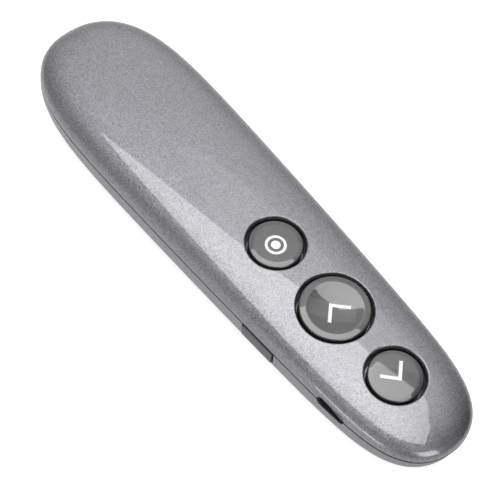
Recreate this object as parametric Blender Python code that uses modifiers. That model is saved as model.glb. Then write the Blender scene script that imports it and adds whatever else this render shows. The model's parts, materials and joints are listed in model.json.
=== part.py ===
"""A wireless presenter: a two-shell casing with three round push buttons on top,
a push key and a charging opening in the left side, a laser module in the nose, a
board with its switches, a rechargeable cell, and a plug-in receiver in a bay of
the underside. Sizes are in metres. +Z is up, +Y points to the nose, and the
origin is at the centre of the flat underside."""

import math
from dataclasses import dataclass

import bmesh
import bpy
from mathutils import Matrix, Vector

# Clearances
SEAT_GAP = 0.0003
PARTING_GAP = 0.0003
CUT_OVERRUN = 0.0020
MERGE_DISTANCE = 0.000001

# Rounded edges
SHARP_EDGE_ANGLE = math.radians(40)
EDGE_SEGMENTS = 2
PORT_SEGMENTS = 3
SLOT_SEGMENTS = 4
SLOT_ROUND_SHARE = 0.96

# Body form, with the parting plane as its widest level
BODY_LENGTH = 0.1400
BODY_HALF_WIDTH = 0.01738
CROWN_HEIGHT = 0.00635
BELLY_DEPTH = 0.01050
BASE_FLAT_DEPTH = 0.00035
WIDTH_TAPER_SHARE = 0.141
WIDTH_BOW_SHARE = -0.0514
CROWN_TAPER_SHARE = 0.107
CROWN_BOW_SHARE = -0.176
NOSE_POWER, NOSE_ROOT = 6.22, 2.11
TAIL_POWER, TAIL_ROOT = 9.0, 2.22
CROWN_END_POWER, CROWN_END_ROOT = 9.0, 2.63
BELLY_END_POWER, BELLY_END_ROOT = 4.0, 2.28
CROWN_SECTION_POWER = 2.91
BELLY_SECTION_POWER = 3.35
OUTER_SIDES, OUTER_RINGS = 44, 26
INNER_SIDES, INNER_RINGS = 36, 20
SLOPE_STEP = 0.00014

# Casing shells
SHELL_WALL = 0.0016
TONGUE_OUTER_INSET = 0.0009
TONGUE_HEIGHT = 0.0012
REBATE_INSET = 0.0006
FURNITURE_INSET = 0.0008

# Buttons on top, placed from the rear end
PAGE_DOWN_FROM_REAR = 0.0197
PAGE_UP_FROM_PAGE_DOWN = 0.02045
LASER_FROM_PAGE_UP = 0.0206
SMALL_CAP_RADIUS = 0.0063
LARGE_CAP_RADIUS = 0.0082
SMALL_HOLE_GAP = 0.00065
LARGE_HOLE_GAP = 0.00055
SMALL_CAP_RECESS = 0.00060
LARGE_CAP_RECESS = 0.00035
SMALL_CAP_RISE = 0.00025
LARGE_DISH_DEPTH = 0.00060
DISH_RADIUS_SHARE = 0.80
CAP_EDGE_RADIUS = 0.00030
CAP_EDGE_ANGLES = (math.radians(45), math.radians(90))
CAP_TOP_WALL = 0.0013
CAP_SKIRT_WALL = 0.0011
CAP_FLANGE_REACH = 0.0012
CAP_FLANGE_HEIGHT = 0.0007
STEM_RADIUS = 0.0015
BUTTON_TRAVEL = 0.0005
CAP_STEPS = 36
CROWN_RINGS = 4

# Black frame under the top shell
FRAME_THICKNESS = 0.0009
FRAME_MARGIN = 0.0017

# Board and what it carries
BOARD_DROP = 0.00145
BOARD_THICKNESS = 0.0010
BOARD_INSET = 0.0038
BOARD_REAR_MARGIN = 0.0040
BOARD_FRONT_MARGIN = 0.0120
SWITCH_SIDE = 0.0060
SWITCH_HEIGHT = 0.00265
SWITCH_CORNER = 0.0003
PLUNGER_RADIUS = 0.0016
PLUNGER_HEIGHT = 0.0018
PLUNGER_STAND = 0.0009
PLUNGER_STEPS = 16
CHIP_SIDE = 0.0050
CHIP_HEIGHT = 0.0009
SMALL_CHIP_SIDE = 0.0030
CRYSTAL_LENGTH = 0.0032
CRYSTAL_WIDTH = 0.0025
CRYSTAL_HEIGHT = 0.0008
CHIP_CORNER = 0.00015
CHIP_FROM_BOARD_SIDE = 0.0036
CRYSTAL_FROM_CHIP = 0.0065

# Power key in the left side and its switch
KEY_FROM_REAR = 0.0464
KEY_NOTCH_LENGTH = 0.01036
KEY_NOTCH_DEPTH = 0.0041
KEY_TOP_DROP = 0.00075
KEY_PROUD = 0.0010
KEY_CORNER = 0.0003
KEY_FLANGE_REACH = 0.0012
KEY_FLANGE_THICKNESS = 0.0009
KEY_POST_LENGTH = 0.0003
KEY_POST_SIDE = 0.0020
KEY_TRAVEL = 0.0004
SIDE_SWITCH_LENGTH = 0.0060
SIDE_SWITCH_DEPTH = 0.0024
SIDE_SWITCH_HEIGHT = 0.0030
SIDE_PLUNGER_RADIUS = 0.0008
SIDE_PLUNGER_STAND = 0.0007

# Charging port in the left side
PORT_FROM_REAR = 0.0234
PORT_SLOT_LENGTH = 0.00805
PORT_SLOT_HEIGHT = 0.0029
PORT_SHELL_WALL = 0.00025
PORT_DEPTH = 0.0050
PORT_MOUTH_DROP = 0.0006
PORT_CORNER = 0.0006
PORT_TONGUE_THICKNESS = 0.0006
PORT_TONGUE_LENGTH = 0.0034

# Laser module in the nose
WINDOW_RADIUS = 0.0023
WINDOW_DROP = 0.0009
WINDOW_THICKNESS = 0.0024
WINDOW_BORE_DEPTH = 0.0040
WINDOW_RISE = 0.0009
BARREL_FROM_NOSE = 0.0072
BARREL_RADIUS = 0.0030
BARREL_LENGTH = 0.0110
BARREL_BORE_RADIUS = 0.0022
LENS_THICKNESS = 0.0018
LENS_DROP = 0.0010
LENS_RISE = 0.0004
DIODE_RADIUS = 0.00165
DIODE_FLANGE_RADIUS = 0.0019
DIODE_FLANGE_LENGTH = 0.0010
DIODE_LENGTH = 0.0034
DIODE_OUT = 0.0006
CRADLE_WIDTH = 0.0100
CRADLE_THICKNESS = 0.0012
CRADLE_TOP_DROP = 0.0010
CRADLE_END_MARGIN = 0.0020

# Battery cell in the front half
CELL_FROM_WALL = 0.00616
CELL_THICKNESS = 0.0050
CELL_CORNER = 0.0012
CELL_FROM_BOARD = 0.0085
CELL_FROM_BOSS = 0.0070
PAD_MARGIN = 0.0015
CELL_RIB_THICKNESS = 0.0010
CELL_RIB_HEIGHT = 0.0030
PLUG_WIDTH = 0.0045
PLUG_LENGTH = 0.0026
PLUG_HEIGHT = 0.0022
SOCKET_LENGTH = 0.0032
SOCKET_HEIGHT = 0.0028
SOCKET_FROM_EDGE = 0.0008
SOCKET_FROM_SCREW = 0.0046

# Wires
WIRE_RADIUS = 0.00045
WIRE_PITCH = 0.0014
LASER_WIRE_RADIUS = 0.0004
LASER_WIRE_PITCH = 0.0024
LASER_WIRE_CLIMB = 0.0050
LASER_WIRE_PAD_MARGIN = 0.0020
WIRE_BEVEL_RESOLUTION = 2
WIRE_STRAIGHT = 0.0010

# Screws
SCREW_HEAD_RADIUS = 0.0017
SCREW_HEAD_HEIGHT = 0.0011
SCREW_HEAD_EDGE = 0.00037
SCREW_SHANK_RADIUS = 0.00085
CASE_SCREW_LENGTH = 0.0075
BOARD_SCREW_LENGTH = 0.0045
CASE_SCREW_SEAT_DEPTH = 0.0052
CASE_BOSS_RADIUS = 0.0026
TOP_BOSS_RADIUS = 0.0022
BOARD_POST_RADIUS = 0.0019
FRONT_BOSS_FROM_NOSE = 0.0210
FRONT_BOSS_FROM_SIDE = 0.00717
REAR_BOSS_FROM_REAR = 0.0120
REAR_BOSS_FROM_SIDE = 0.00525
FRONT_POST_FROM_EDGE = 0.0026
FRONT_POST_FROM_BOARD_SIDE = 0.00384
REAR_POST_FROM_BOARD_SIDE = 0.0027
REAR_POST_FROM_PAGE_DOWN = 0.0058
SCREW_STEPS = 16

# Plug-in receiver and its bay in the underside
RECEIVER_FROM_REAR = 0.0423
RECEIVER_FROM_SIDE_SWITCH = 0.00862
RECEIVER_WIDTH = 0.0144
RECEIVER_HEIGHT = 0.0055
RECEIVER_HOUSING_LENGTH = 0.0065
RECEIVER_CORNER = 0.0009
RECEIVER_PLUG_WIDTH = 0.0120
RECEIVER_PLUG_HEIGHT = 0.0045
RECEIVER_PLUG_LENGTH = 0.0118
RECEIVER_PLUG_WALL = 0.0003
RECEIVER_BOARD_THICKNESS = 0.0017
BAY_WALL = 0.0008
FINGER_SCOOP_LENGTH = 0.0050
FINGER_SCOOP_WIDTH = 0.0090
FINGER_SCOOP_DEPTH = 0.0024
MAGNET_WIDTH = 0.0080
MAGNET_LENGTH = 0.0020
MAGNET_HEIGHT = 0.0035

# Levels and stations that follow from the sizes above
PARTING_Z = BELLY_DEPTH - BASE_FLAT_DEPTH
REAR_Y = -BODY_LENGTH / 2
NOSE_Y = BODY_LENGTH / 2
PAGE_DOWN_Y = REAR_Y + PAGE_DOWN_FROM_REAR
PAGE_UP_Y = PAGE_DOWN_Y + PAGE_UP_FROM_PAGE_DOWN
LASER_Y = PAGE_UP_Y + LASER_FROM_PAGE_UP
BOARD_TOP_Z = PARTING_Z - BOARD_DROP
BOARD_BOTTOM_Z = BOARD_TOP_Z - BOARD_THICKNESS
BOARD_REAR_Y = PAGE_DOWN_Y - BOARD_REAR_MARGIN
BOARD_FRONT_Y = LASER_Y + BOARD_FRONT_MARGIN
KEY_Y = REAR_Y + KEY_FROM_REAR
PORT_Y = REAR_Y + PORT_FROM_REAR
RECEIVER_Y = REAR_Y + RECEIVER_FROM_REAR
RECEIVER_LENGTH = RECEIVER_HOUSING_LENGTH + SEAT_GAP + RECEIVER_PLUG_LENGTH
BAY_TOP_Z = SEAT_GAP + RECEIVER_HEIGHT + SEAT_GAP
CELL_REAR_Y = BOARD_FRONT_Y + CELL_FROM_BOARD
CELL_FRONT_Y = NOSE_Y - FRONT_BOSS_FROM_NOSE - CASE_BOSS_RADIUS - CELL_FROM_BOSS
CASE_SCREW_SEAT_Z = PARTING_Z - CASE_SCREW_SEAT_DEPTH


@dataclass(frozen=True)
class Finish:
    """Colour and shine of one material."""

    colour: tuple
    metallic: float
    roughness: float


@dataclass(frozen=True)
class Button:
    """One round push button: its place along the body and its own sizes."""

    name: str
    y: float
    cap_radius: float
    hole_gap: float
    recess: float
    rise: float
    dish: float

    @property
    def hole_radius(self):
        return self.cap_radius + self.hole_gap

    @property
    def flange_radius(self):
        return self.cap_radius + CAP_FLANGE_REACH


FINISHES = {
    "grey_lacquer": Finish((0.30, 0.30, 0.31), 0.6, 0.28),
    "dark_gloss": Finish((0.13, 0.13, 0.14), 0.2, 0.18),
    "key_grey": Finish((0.15, 0.15, 0.16), 0.3, 0.35),
    "black_plastic": Finish((0.015, 0.015, 0.016), 0.0, 0.45),
    "clear_window": Finish((0.20, 0.03, 0.03), 0.0, 0.05),
    "lens_glass": Finish((0.80, 0.85, 0.90), 0.0, 0.05),
    "brass": Finish((0.72, 0.52, 0.24), 1.0, 0.30),
    "steel": Finish((0.62, 0.62, 0.64), 1.0, 0.28),
    "gold_can": Finish((0.80, 0.60, 0.25), 1.0, 0.25),
    "board_green": Finish((0.02, 0.16, 0.07), 0.0, 0.40),
    "chip_black": Finish((0.02, 0.02, 0.02), 0.0, 0.55),
    "switch_black": Finish((0.03, 0.03, 0.03), 0.0, 0.50),
    "switch_white": Finish((0.75, 0.74, 0.70), 0.0, 0.45),
    "cell_foil": Finish((0.66, 0.67, 0.68), 0.9, 0.35),
    "foam_white": Finish((0.80, 0.80, 0.77), 0.0, 0.90),
    "wire_red": Finish((0.60, 0.03, 0.02), 0.0, 0.45),
    "wire_black": Finish((0.02, 0.02, 0.02), 0.0, 0.45),
    "connector_white": Finish((0.85, 0.83, 0.76), 0.0, 0.45),
    "magnet_nickel": Finish((0.68, 0.68, 0.66), 1.0, 0.22),
}

BUTTONS = (
    Button(
        "laser", LASER_Y, SMALL_CAP_RADIUS, SMALL_HOLE_GAP, SMALL_CAP_RECESS, SMALL_CAP_RISE, 0.0),
    Button(
        "page_up", PAGE_UP_Y, LARGE_CAP_RADIUS, LARGE_HOLE_GAP, LARGE_CAP_RECESS, 0.0, LARGE_DISH_DEPTH),
    Button(
        "page_down", PAGE_DOWN_Y, SMALL_CAP_RADIUS, SMALL_HOLE_GAP, SMALL_CAP_RECESS, SMALL_CAP_RISE, 0.0),
)


# Scene housekeeping


def clear_scene():
    """Remove what the file holds, so that the model starts empty."""
    for obj in list(bpy.data.objects):
        bpy.data.objects.remove(obj, do_unlink=True)


def new_collection(name):
    """Make a collection and link it to the scene."""
    collection = bpy.data.collections.new(name)
    bpy.context.scene.collection.children.link(collection)
    return collection


def make_material(name, finish):
    """Make a Principled material from a finish."""
    material = bpy.data.materials.new(name)
    material.use_nodes = True
    shader = material.node_tree.nodes["Principled BSDF"]
    shader.inputs["Base Color"].default_value = (*finish.colour, 1.0)
    shader.inputs["Metallic"].default_value = finish.metallic
    shader.inputs["Roughness"].default_value = finish.roughness
    material.diffuse_color = (*finish.colour, 1.0)
    return material


def add_object(name, mesh, finish_name):
    """Put a mesh in the part's collection with a material of its own."""
    obj = bpy.data.objects.new(name, mesh)
    parts.objects.link(obj)
    mesh.materials.append(make_material(name + "_finish", FINISHES[finish_name]))
    return obj


def add_cutter(name, bm):
    """Put a tool shape in the cutters' collection, hidden from renders."""
    obj = bpy.data.objects.new(name, to_mesh(name, bm))
    cutters.objects.link(obj)
    obj.hide_render = True
    obj.display_type = "WIRE"
    return obj


def add_part(name, bm, finish_name):
    """Turn a bmesh into a named piece of the object."""
    return add_object(name, to_mesh(name, bm), finish_name)


def add_axis(name, location, rotation=(0.0, 0.0, 0.0)):
    """Add an empty on a moving group's axis."""
    empty = bpy.data.objects.new(name, None)
    empty.location = location
    empty.rotation_euler = rotation
    empty.empty_display_size = BODY_HALF_WIDTH / 2
    parts.objects.link(empty)
    return empty


def to_mesh(name, bm):
    """Write a bmesh to a new mesh with its faces pointing out."""
    bmesh.ops.recalc_face_normals(bm, faces=bm.faces)
    if bm.calc_volume(signed=True) < 0.0:
        bmesh.ops.reverse_faces(bm, faces=bm.faces)
    mesh = bpy.data.meshes.new(name)
    bm.to_mesh(mesh)
    bm.free()
    return mesh


def combine(obj, other, operation):
    """Add a Boolean of another object to this one."""
    modifier = obj.modifiers.new(operation.lower() + "_" + other.name, "BOOLEAN")
    modifier.operation = operation
    modifier.object = other
    modifier.solver = "EXACT"


def soften(obj, width):
    """Round an object's sharp edges."""
    modifier = obj.modifiers.new("rounded_edges", "BEVEL")
    modifier.width = width
    modifier.segments = EDGE_SEGMENTS
    modifier.limit_method = "ANGLE"
    modifier.angle_limit = SHARP_EDGE_ANGLE


# The body form: a long rounded shape given by a width, a crown and a belly curve


def end_share(station, power, root):
    """Share of the full section left at a station from 0, mid-length, to 1, the end."""
    return max(0.0, 1.0 - abs(station) ** power) ** (1.0 / root)


def station_of(y, inset):
    """Place along the body as a share of its half length."""
    return max(-1.0, min(1.0, y / (BODY_LENGTH / 2 - inset)))


def half_width(y, inset=0.0):
    """Half width of the form at the parting plane."""
    s = station_of(y, inset)
    full = BODY_HALF_WIDTH * (1.0 + WIDTH_TAPER_SHARE * s + WIDTH_BOW_SHARE * s * s) - inset
    if s > 0.0:
        return full * end_share(s, NOSE_POWER, NOSE_ROOT)
    return full * end_share(s, TAIL_POWER, TAIL_ROOT)


def crown_height(y, inset=0.0):
    """Height of the form above the parting plane, on its centre line."""
    s = station_of(y, inset)
    full = CROWN_HEIGHT * (1.0 + CROWN_TAPER_SHARE * s + CROWN_BOW_SHARE * s * s) - inset
    return full * end_share(s, CROWN_END_POWER, CROWN_END_ROOT)


def belly_depth(y, inset=0.0):
    """Depth of the form below the parting plane, on its centre line."""
    s = station_of(y, inset)
    return (BELLY_DEPTH - inset) * end_share(s, BELLY_END_POWER, BELLY_END_ROOT)


def side_x(y, z, inset=0.0):
    """Half width of the form at a height, for places on its side wall."""
    level = z - PARTING_Z
    if level > 0.0:
        share = min(1.0, level / crown_height(y, inset))
        power = CROWN_SECTION_POWER
    else:
        share = min(1.0, -level / belly_depth(y, inset))
        power = BELLY_SECTION_POWER
    return half_width(y, inset) * (1.0 - share ** power) ** (1.0 / power)


def floor_z(x, y):
    """Height of the casing's floor inside, at a place."""
    share = min(1.0, abs(x) / half_width(y, SHELL_WALL))
    depth = belly_depth(y, SHELL_WALL) * (1.0 - share ** BELLY_SECTION_POWER) ** (1.0 / BELLY_SECTION_POWER)
    return PARTING_Z - depth


def form_bmesh(inset, low=None, high=None):
    """The body form, drawn in by an inset and cut flat at two optional heights."""
    sides, rings = (OUTER_SIDES, OUTER_RINGS) if inset <= 0.0 else (INNER_SIDES, INNER_RINGS)
    bm = bmesh.new()
    bmesh.ops.create_uvsphere(bm, u_segments=sides, v_segments=rings, radius=1.0)
    half_length = BODY_LENGTH / 2 - inset
    for vert in bm.verts:
        y = vert.co.z * half_length
        across = math.hypot(vert.co.x, vert.co.y)
        side = -vert.co.x / across if across > MERGE_DISTANCE else 0.0
        rise = vert.co.y / across if across > MERGE_DISTANCE else 0.0
        power = CROWN_SECTION_POWER if rise > 0.0 else BELLY_SECTION_POWER
        reach = crown_height(y, inset) if rise > 0.0 else belly_depth(y, inset)
        x = math.copysign(abs(side) ** (2.0 / power), side) * half_width(y, inset)
        z = math.copysign(abs(rise) ** (2.0 / power), rise) * reach
        vert.co = (x, y, PARTING_Z + z)
    for level, sign in ((low, -1.0), (high, 1.0)):
        if level is not None:
            trim(bm, level, sign)
    return bm


def trim(bm, level, sign):
    """Cut a closed bmesh at a height, keep the side away from sign, and close it."""
    everything = bm.verts[:] + bm.edges[:] + bm.faces[:]
    bmesh.ops.bisect_plane(
        bm, geom=everything, dist=MERGE_DISTANCE, plane_co=(0.0, 0.0, level),
        plane_no=(0.0, 0.0, sign), clear_outer=True)
    rim = [edge for edge in bm.edges if edge.is_boundary]
    bmesh.ops.edgeloop_fill(bm, edges=rim)


# Small building blocks


def box(bm, low, high):
    """Add a box between two corners."""
    low, high = Vector(low), Vector(high)
    place = Matrix.Translation((low + high) / 2) @ Matrix.Diagonal((*(high - low), 1.0))
    bmesh.ops.create_cube(bm, size=1.0, matrix=place)


def post(bm, x, y, radius, low, high, sides=SCREW_STEPS):
    """Add an upright cylinder."""
    bmesh.ops.create_cone(
        bm, cap_ends=True, segments=sides, radius1=radius, radius2=radius, depth=high - low,
        matrix=Matrix.Translation((x, y, (low + high) / 2)))


def rod(bm, x, z, radius, rear, front, sides=CAP_STEPS):
    """Add a cylinder that lies along Y."""
    place = Matrix.Translation((x, (rear + front) / 2, z)) @ Matrix.Rotation(math.pi / 2, 4, "X")
    bmesh.ops.create_cone(
        bm, cap_ends=True, segments=sides, radius1=radius, radius2=radius, depth=front - rear, matrix=place)


def box_part(name, low, high, finish_name, corner=0.0):
    """A piece that is a box with softened edges."""
    bm = bmesh.new()
    box(bm, low, high)
    obj = add_part(name, bm, finish_name)
    if corner:
        soften(obj, corner)
    return obj


def turned_part(name, profile, finish_name, steps, closed=False):
    """A piece turned about its own Z axis from a profile that runs top to bottom outside."""
    bm = bmesh.new()
    verts = [bm.verts.new((radius, 0.0, height)) for radius, height in profile]
    for first, second in zip(verts, verts[1:]):
        bm.edges.new((first, second))
    if closed:
        bm.edges.new((verts[-1], verts[0]))
    mesh = bpy.data.meshes.new(name)
    bm.to_mesh(mesh)
    bm.free()
    obj = add_object(name, mesh, finish_name)
    screw = obj.modifiers.new("turned", "SCREW")
    screw.steps = steps
    screw.render_steps = steps
    screw.use_merge_vertices = True
    screw.merge_threshold = MERGE_DISTANCE
    return obj


def smooth_route(points, pitch):
    """Points at an even pitch on a smooth curve through the given points."""
    ends = [points[0] * 2 - points[1], *points, points[-1] * 2 - points[-2]]
    route = [points[0]]
    for a, b, c, d in zip(ends, ends[1:], ends[2:], ends[3:]):
        count = max(1, round((c - b).length / pitch))
        for index in range(1, count + 1):
            t = index / count
            route.append(
                (b * 2 + (c - a) * t + (a * 2 - b * 5 + c * 4 - d) * t * t
                 + (b * 3 - a - c * 3 + d) * t * t * t) / 2)
    return route


def wire(name, points, radius, pitch, finish_name):
    """A piece of insulated wire along a smooth route."""
    route = smooth_route([Vector(point) for point in points], pitch)
    curve = bpy.data.curves.new(name, "CURVE")
    curve.dimensions = "3D"
    curve.bevel_depth = radius
    curve.bevel_resolution = WIRE_BEVEL_RESOLUTION
    curve.use_fill_caps = True
    spline = curve.splines.new("POLY")
    spline.points.add(len(route) - 1)
    for point, place in zip(spline.points, route):
        point.co = (*place, 1.0)
    curve.materials.append(make_material(name + "_finish", FINISHES[finish_name]))
    obj = bpy.data.objects.new(name, curve)
    parts.objects.link(obj)
    return obj


# Button geometry shared by the shell, the frame, the caps and the switches


def crown_slope(y):
    """Slope of the crown along the body."""
    rise = crown_height(y + SLOPE_STEP) - crown_height(y - SLOPE_STEP)
    return rise / (SLOPE_STEP + SLOPE_STEP)


def button_tilt(button):
    """Turn about X that stands a button square to the crown."""
    return math.atan(crown_slope(button.y))


def button_top(button):
    """The point on the crown where a button's axis comes out."""
    return Vector((0.0, button.y, PARTING_Z + crown_height(button.y)))


def on_button_axis(button, z):
    """The point of a button's axis at a height."""
    top = button_top(button)
    return Vector((0.0, top.y + (top.z - z) * math.tan(button_tilt(button)), z))


def button_bore(bm, button, radius, depth):
    """Add a cylinder on a button's axis, from above the crown to a depth below it."""
    length = depth + CUT_OVERRUN
    place = (Matrix.Translation(button_top(button)) @ Matrix.Rotation(button_tilt(button), 4, "X")
             @ Matrix.Translation((0.0, 0.0, CUT_OVERRUN - length / 2)))
    bmesh.ops.create_cone(
        bm, cap_ends=True, segments=CAP_STEPS, radius1=radius, radius2=radius, depth=length, matrix=place)


# Casing


def case_screw_places():
    """Name and place of each case screw."""
    front_y = NOSE_Y - FRONT_BOSS_FROM_NOSE
    front_x = half_width(front_y) - FRONT_BOSS_FROM_SIDE
    rear_y = REAR_Y + REAR_BOSS_FROM_REAR
    rear_x = half_width(rear_y) - REAR_BOSS_FROM_SIDE
    return (
        ("case_screw_front_left", -front_x, front_y),
        ("case_screw_front_right", front_x, front_y),
        ("case_screw_rear_left", -rear_x, rear_y),
        ("case_screw_rear_right", rear_x, rear_y),
    )


def board_side_x(y):
    """Half width of the board at a station."""
    return side_x(y, BOARD_BOTTOM_Z, BOARD_INSET)


def front_post_x():
    """Half the distance between the two front board screws."""
    return board_side_x(BOARD_FRONT_Y - FRONT_POST_FROM_EDGE) - FRONT_POST_FROM_BOARD_SIDE


def board_screw_places():
    """Name and place of each board screw."""
    front_y = BOARD_FRONT_Y - FRONT_POST_FROM_EDGE
    rear_y = PAGE_DOWN_Y + REAR_POST_FROM_PAGE_DOWN
    return (
        ("board_screw_1", -front_post_x(), front_y),
        ("board_screw_2", front_post_x(), front_y),
        ("board_screw_3", board_side_x(rear_y) - REAR_POST_FROM_BOARD_SIDE, rear_y),
    )


def port_slot_cutter():
    """The stadium-shaped charging opening through the left wall."""
    bm = bmesh.new()
    outer = half_width(PORT_Y) + CUT_OVERRUN
    inner = half_width(PORT_Y) - PORT_MOUTH_DROP - PORT_DEPTH
    radius = PORT_SLOT_HEIGHT / 2
    box(bm, (-outer, PORT_Y - PORT_SLOT_LENGTH / 2, PARTING_Z - radius),
        (-inner, PORT_Y + PORT_SLOT_LENGTH / 2, PARTING_Z + radius))
    slot = add_cutter("port_slot_cutter", bm)
    round_along_x(slot, radius * SLOT_ROUND_SHARE, SLOT_SEGMENTS)
    return slot


def mark_edges_along_x(mesh):
    """Give the edges that run along X a full bevel weight."""
    weights = mesh.attributes.new("bevel_weight_edge", "FLOAT", "EDGE")
    for edge in mesh.edges:
        first, second = (mesh.vertices[index].co for index in edge.vertices)
        run = second - first
        weights.data[edge.index].value = 1.0 if abs(run.x) > abs(run.y) + abs(run.z) else 0.0


def round_along_x(obj, width, segments=PORT_SEGMENTS):
    """Round the edges of a box that run along X."""
    mark_edges_along_x(obj.data)
    bevel = obj.modifiers.new("rounded_edges", "BEVEL")
    bevel.width = width
    bevel.segments = segments
    bevel.limit_method = "WEIGHT"


def key_notch_cutter():
    """The notch for the power key in the bottom shell's upper edge."""
    bm = bmesh.new()
    box(bm, (-half_width(KEY_Y) - CUT_OVERRUN, KEY_Y - KEY_NOTCH_LENGTH / 2, PARTING_Z - KEY_NOTCH_DEPTH),
        (-half_width(KEY_Y) / 2, KEY_Y + KEY_NOTCH_LENGTH / 2, PARTING_Z + TONGUE_HEIGHT + CUT_OVERRUN))
    return add_cutter("key_notch_cutter", bm)


def window_bore_cutter():
    """The round opening for the laser window in the nose."""
    bm = bmesh.new()
    rod(bm, 0.0, PARTING_Z, WINDOW_RADIUS + SEAT_GAP, NOSE_Y - WINDOW_BORE_DEPTH, NOSE_Y + CUT_OVERRUN)
    return add_cutter("window_bore_cutter", bm)


def top_shell():
    """Upper half of the casing with the button holes and screw bosses."""
    shell = add_part("top_shell", form_bmesh(0.0, low=PARTING_Z + PARTING_GAP / 2), "grey_lacquer")
    hollow = add_cutter("top_hollow_cutter", form_bmesh(SHELL_WALL, low=PARTING_Z - CUT_OVERRUN))
    combine(shell, hollow, "DIFFERENCE")
    rebate_top = PARTING_Z + TONGUE_HEIGHT + SEAT_GAP
    rebate_form = form_bmesh(REBATE_INSET, low=PARTING_Z - CUT_OVERRUN, high=rebate_top)
    combine(shell, add_cutter("rebate_cutter", rebate_form), "DIFFERENCE")

    bm = bmesh.new()
    for _, x, y in case_screw_places():
        post(bm, x, y, TOP_BOSS_RADIUS, PARTING_Z - PARTING_GAP / 2, PARTING_Z + CROWN_HEIGHT)
    bosses = add_cutter("top_bosses", bm)
    keep = add_cutter("top_boss_limit", form_bmesh(FURNITURE_INSET, low=PARTING_Z - CUT_OVERRUN))
    combine(bosses, keep, "INTERSECT")
    combine(shell, bosses, "UNION")

    bm = bmesh.new()
    for button in BUTTONS:
        button_bore(bm, button, button.hole_radius, SHELL_WALL + CUT_OVERRUN)
    combine(shell, add_cutter("button_hole_cutter", bm), "DIFFERENCE")
    bm = bmesh.new()
    pilot_top = CASE_SCREW_SEAT_Z + CASE_SCREW_LENGTH + SEAT_GAP
    for _, x, y in case_screw_places():
        post(bm, x, y, SCREW_SHANK_RADIUS + SEAT_GAP, PARTING_Z - CUT_OVERRUN, pilot_top)
    combine(shell, add_cutter("pilot_hole_cutter", bm), "DIFFERENCE")
    return shell


def bottom_furniture():
    """Posts, ribs, cradles and the bay's walls that stand on the bottom shell's floor."""
    bm = bmesh.new()
    deep = PARTING_Z - BELLY_DEPTH
    for _, x, y in case_screw_places():
        post(bm, x, y, CASE_BOSS_RADIUS, deep, PARTING_Z - PARTING_GAP / 2 - SEAT_GAP)
    for _, x, y in board_screw_places():
        post(bm, x, y, BOARD_POST_RADIUS, deep, BOARD_BOTTOM_Z - SEAT_GAP)
    rib_inner = cell_half_width() + SEAT_GAP
    for side in (-1.0, 1.0):
        faces = sorted((side * rib_inner, side * (rib_inner + CELL_RIB_THICKNESS)))
        box(bm, (faces[0], CELL_REAR_Y + CELL_CORNER, deep),
            (faces[1], CELL_FRONT_Y - CELL_CORNER, cell_bottom_z() + CELL_RIB_HEIGHT))
    for cradle_y in cradle_stations():
        box(bm, (-CRADLE_WIDTH / 2, cradle_y - CRADLE_THICKNESS / 2, deep),
            (CRADLE_WIDTH / 2, cradle_y + CRADLE_THICKNESS / 2, PARTING_Z - CRADLE_TOP_DROP))
    left, right = bay_sides()
    rear, front = bay_ends()
    box(bm, (left - BAY_WALL, rear - FINGER_SCOOP_LENGTH - BAY_WALL, deep),
        (right + BAY_WALL, front + BAY_WALL, BAY_TOP_Z + BAY_WALL))
    return add_cutter("bottom_furniture", bm)


def cradle_stations():
    """Places along the body of the two ribs that carry the laser barrel."""
    front = NOSE_Y - BARREL_FROM_NOSE - CRADLE_END_MARGIN
    rear = NOSE_Y - BARREL_FROM_NOSE - BARREL_LENGTH + CRADLE_END_MARGIN
    return rear, front


def bay_ends():
    """Rear and front end of the receiver's bay."""
    reach = RECEIVER_LENGTH / 2 + SEAT_GAP
    return RECEIVER_Y - reach, RECEIVER_Y + reach


def receiver_x():
    """Place of the receiver across the body, a set way inside the power key's switch."""
    return side_switch_face_x() + SIDE_SWITCH_DEPTH + RECEIVER_FROM_SIDE_SWITCH


def bay_sides():
    """Left and right side of the receiver's bay."""
    reach = RECEIVER_WIDTH / 2 + SEAT_GAP
    return receiver_x() - reach, receiver_x() + reach


def bay_cutter():
    """The receiver's bay, open at the flat underside."""
    bm = bmesh.new()
    left, right = bay_sides()
    rear, front = bay_ends()
    box(bm, (left, rear, -CUT_OVERRUN), (right, front, BAY_TOP_Z))
    return add_cutter("bay_cutter", bm)


def finger_scoop_cutter():
    """A scoop behind the bay, for the finger that lifts the receiver out."""
    bm = bmesh.new()
    rear, _ = bay_ends()
    run = FINGER_SCOOP_LENGTH
    for x in (receiver_x() - FINGER_SCOOP_WIDTH / 2, receiver_x() + FINGER_SCOOP_WIDTH / 2):
        for y, z in ((rear - run, 0.0), (rear + CUT_OVERRUN, 0.0), (rear + CUT_OVERRUN, FINGER_SCOOP_DEPTH)):
            bm.verts.new((x, y, z))
        bm.verts.new((x, rear - run, -CUT_OVERRUN))
        bm.verts.new((x, rear + CUT_OVERRUN, -CUT_OVERRUN))
    bmesh.ops.convex_hull(bm, input=bm.verts[:])
    return add_cutter("finger_scoop_cutter", bm)


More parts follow.
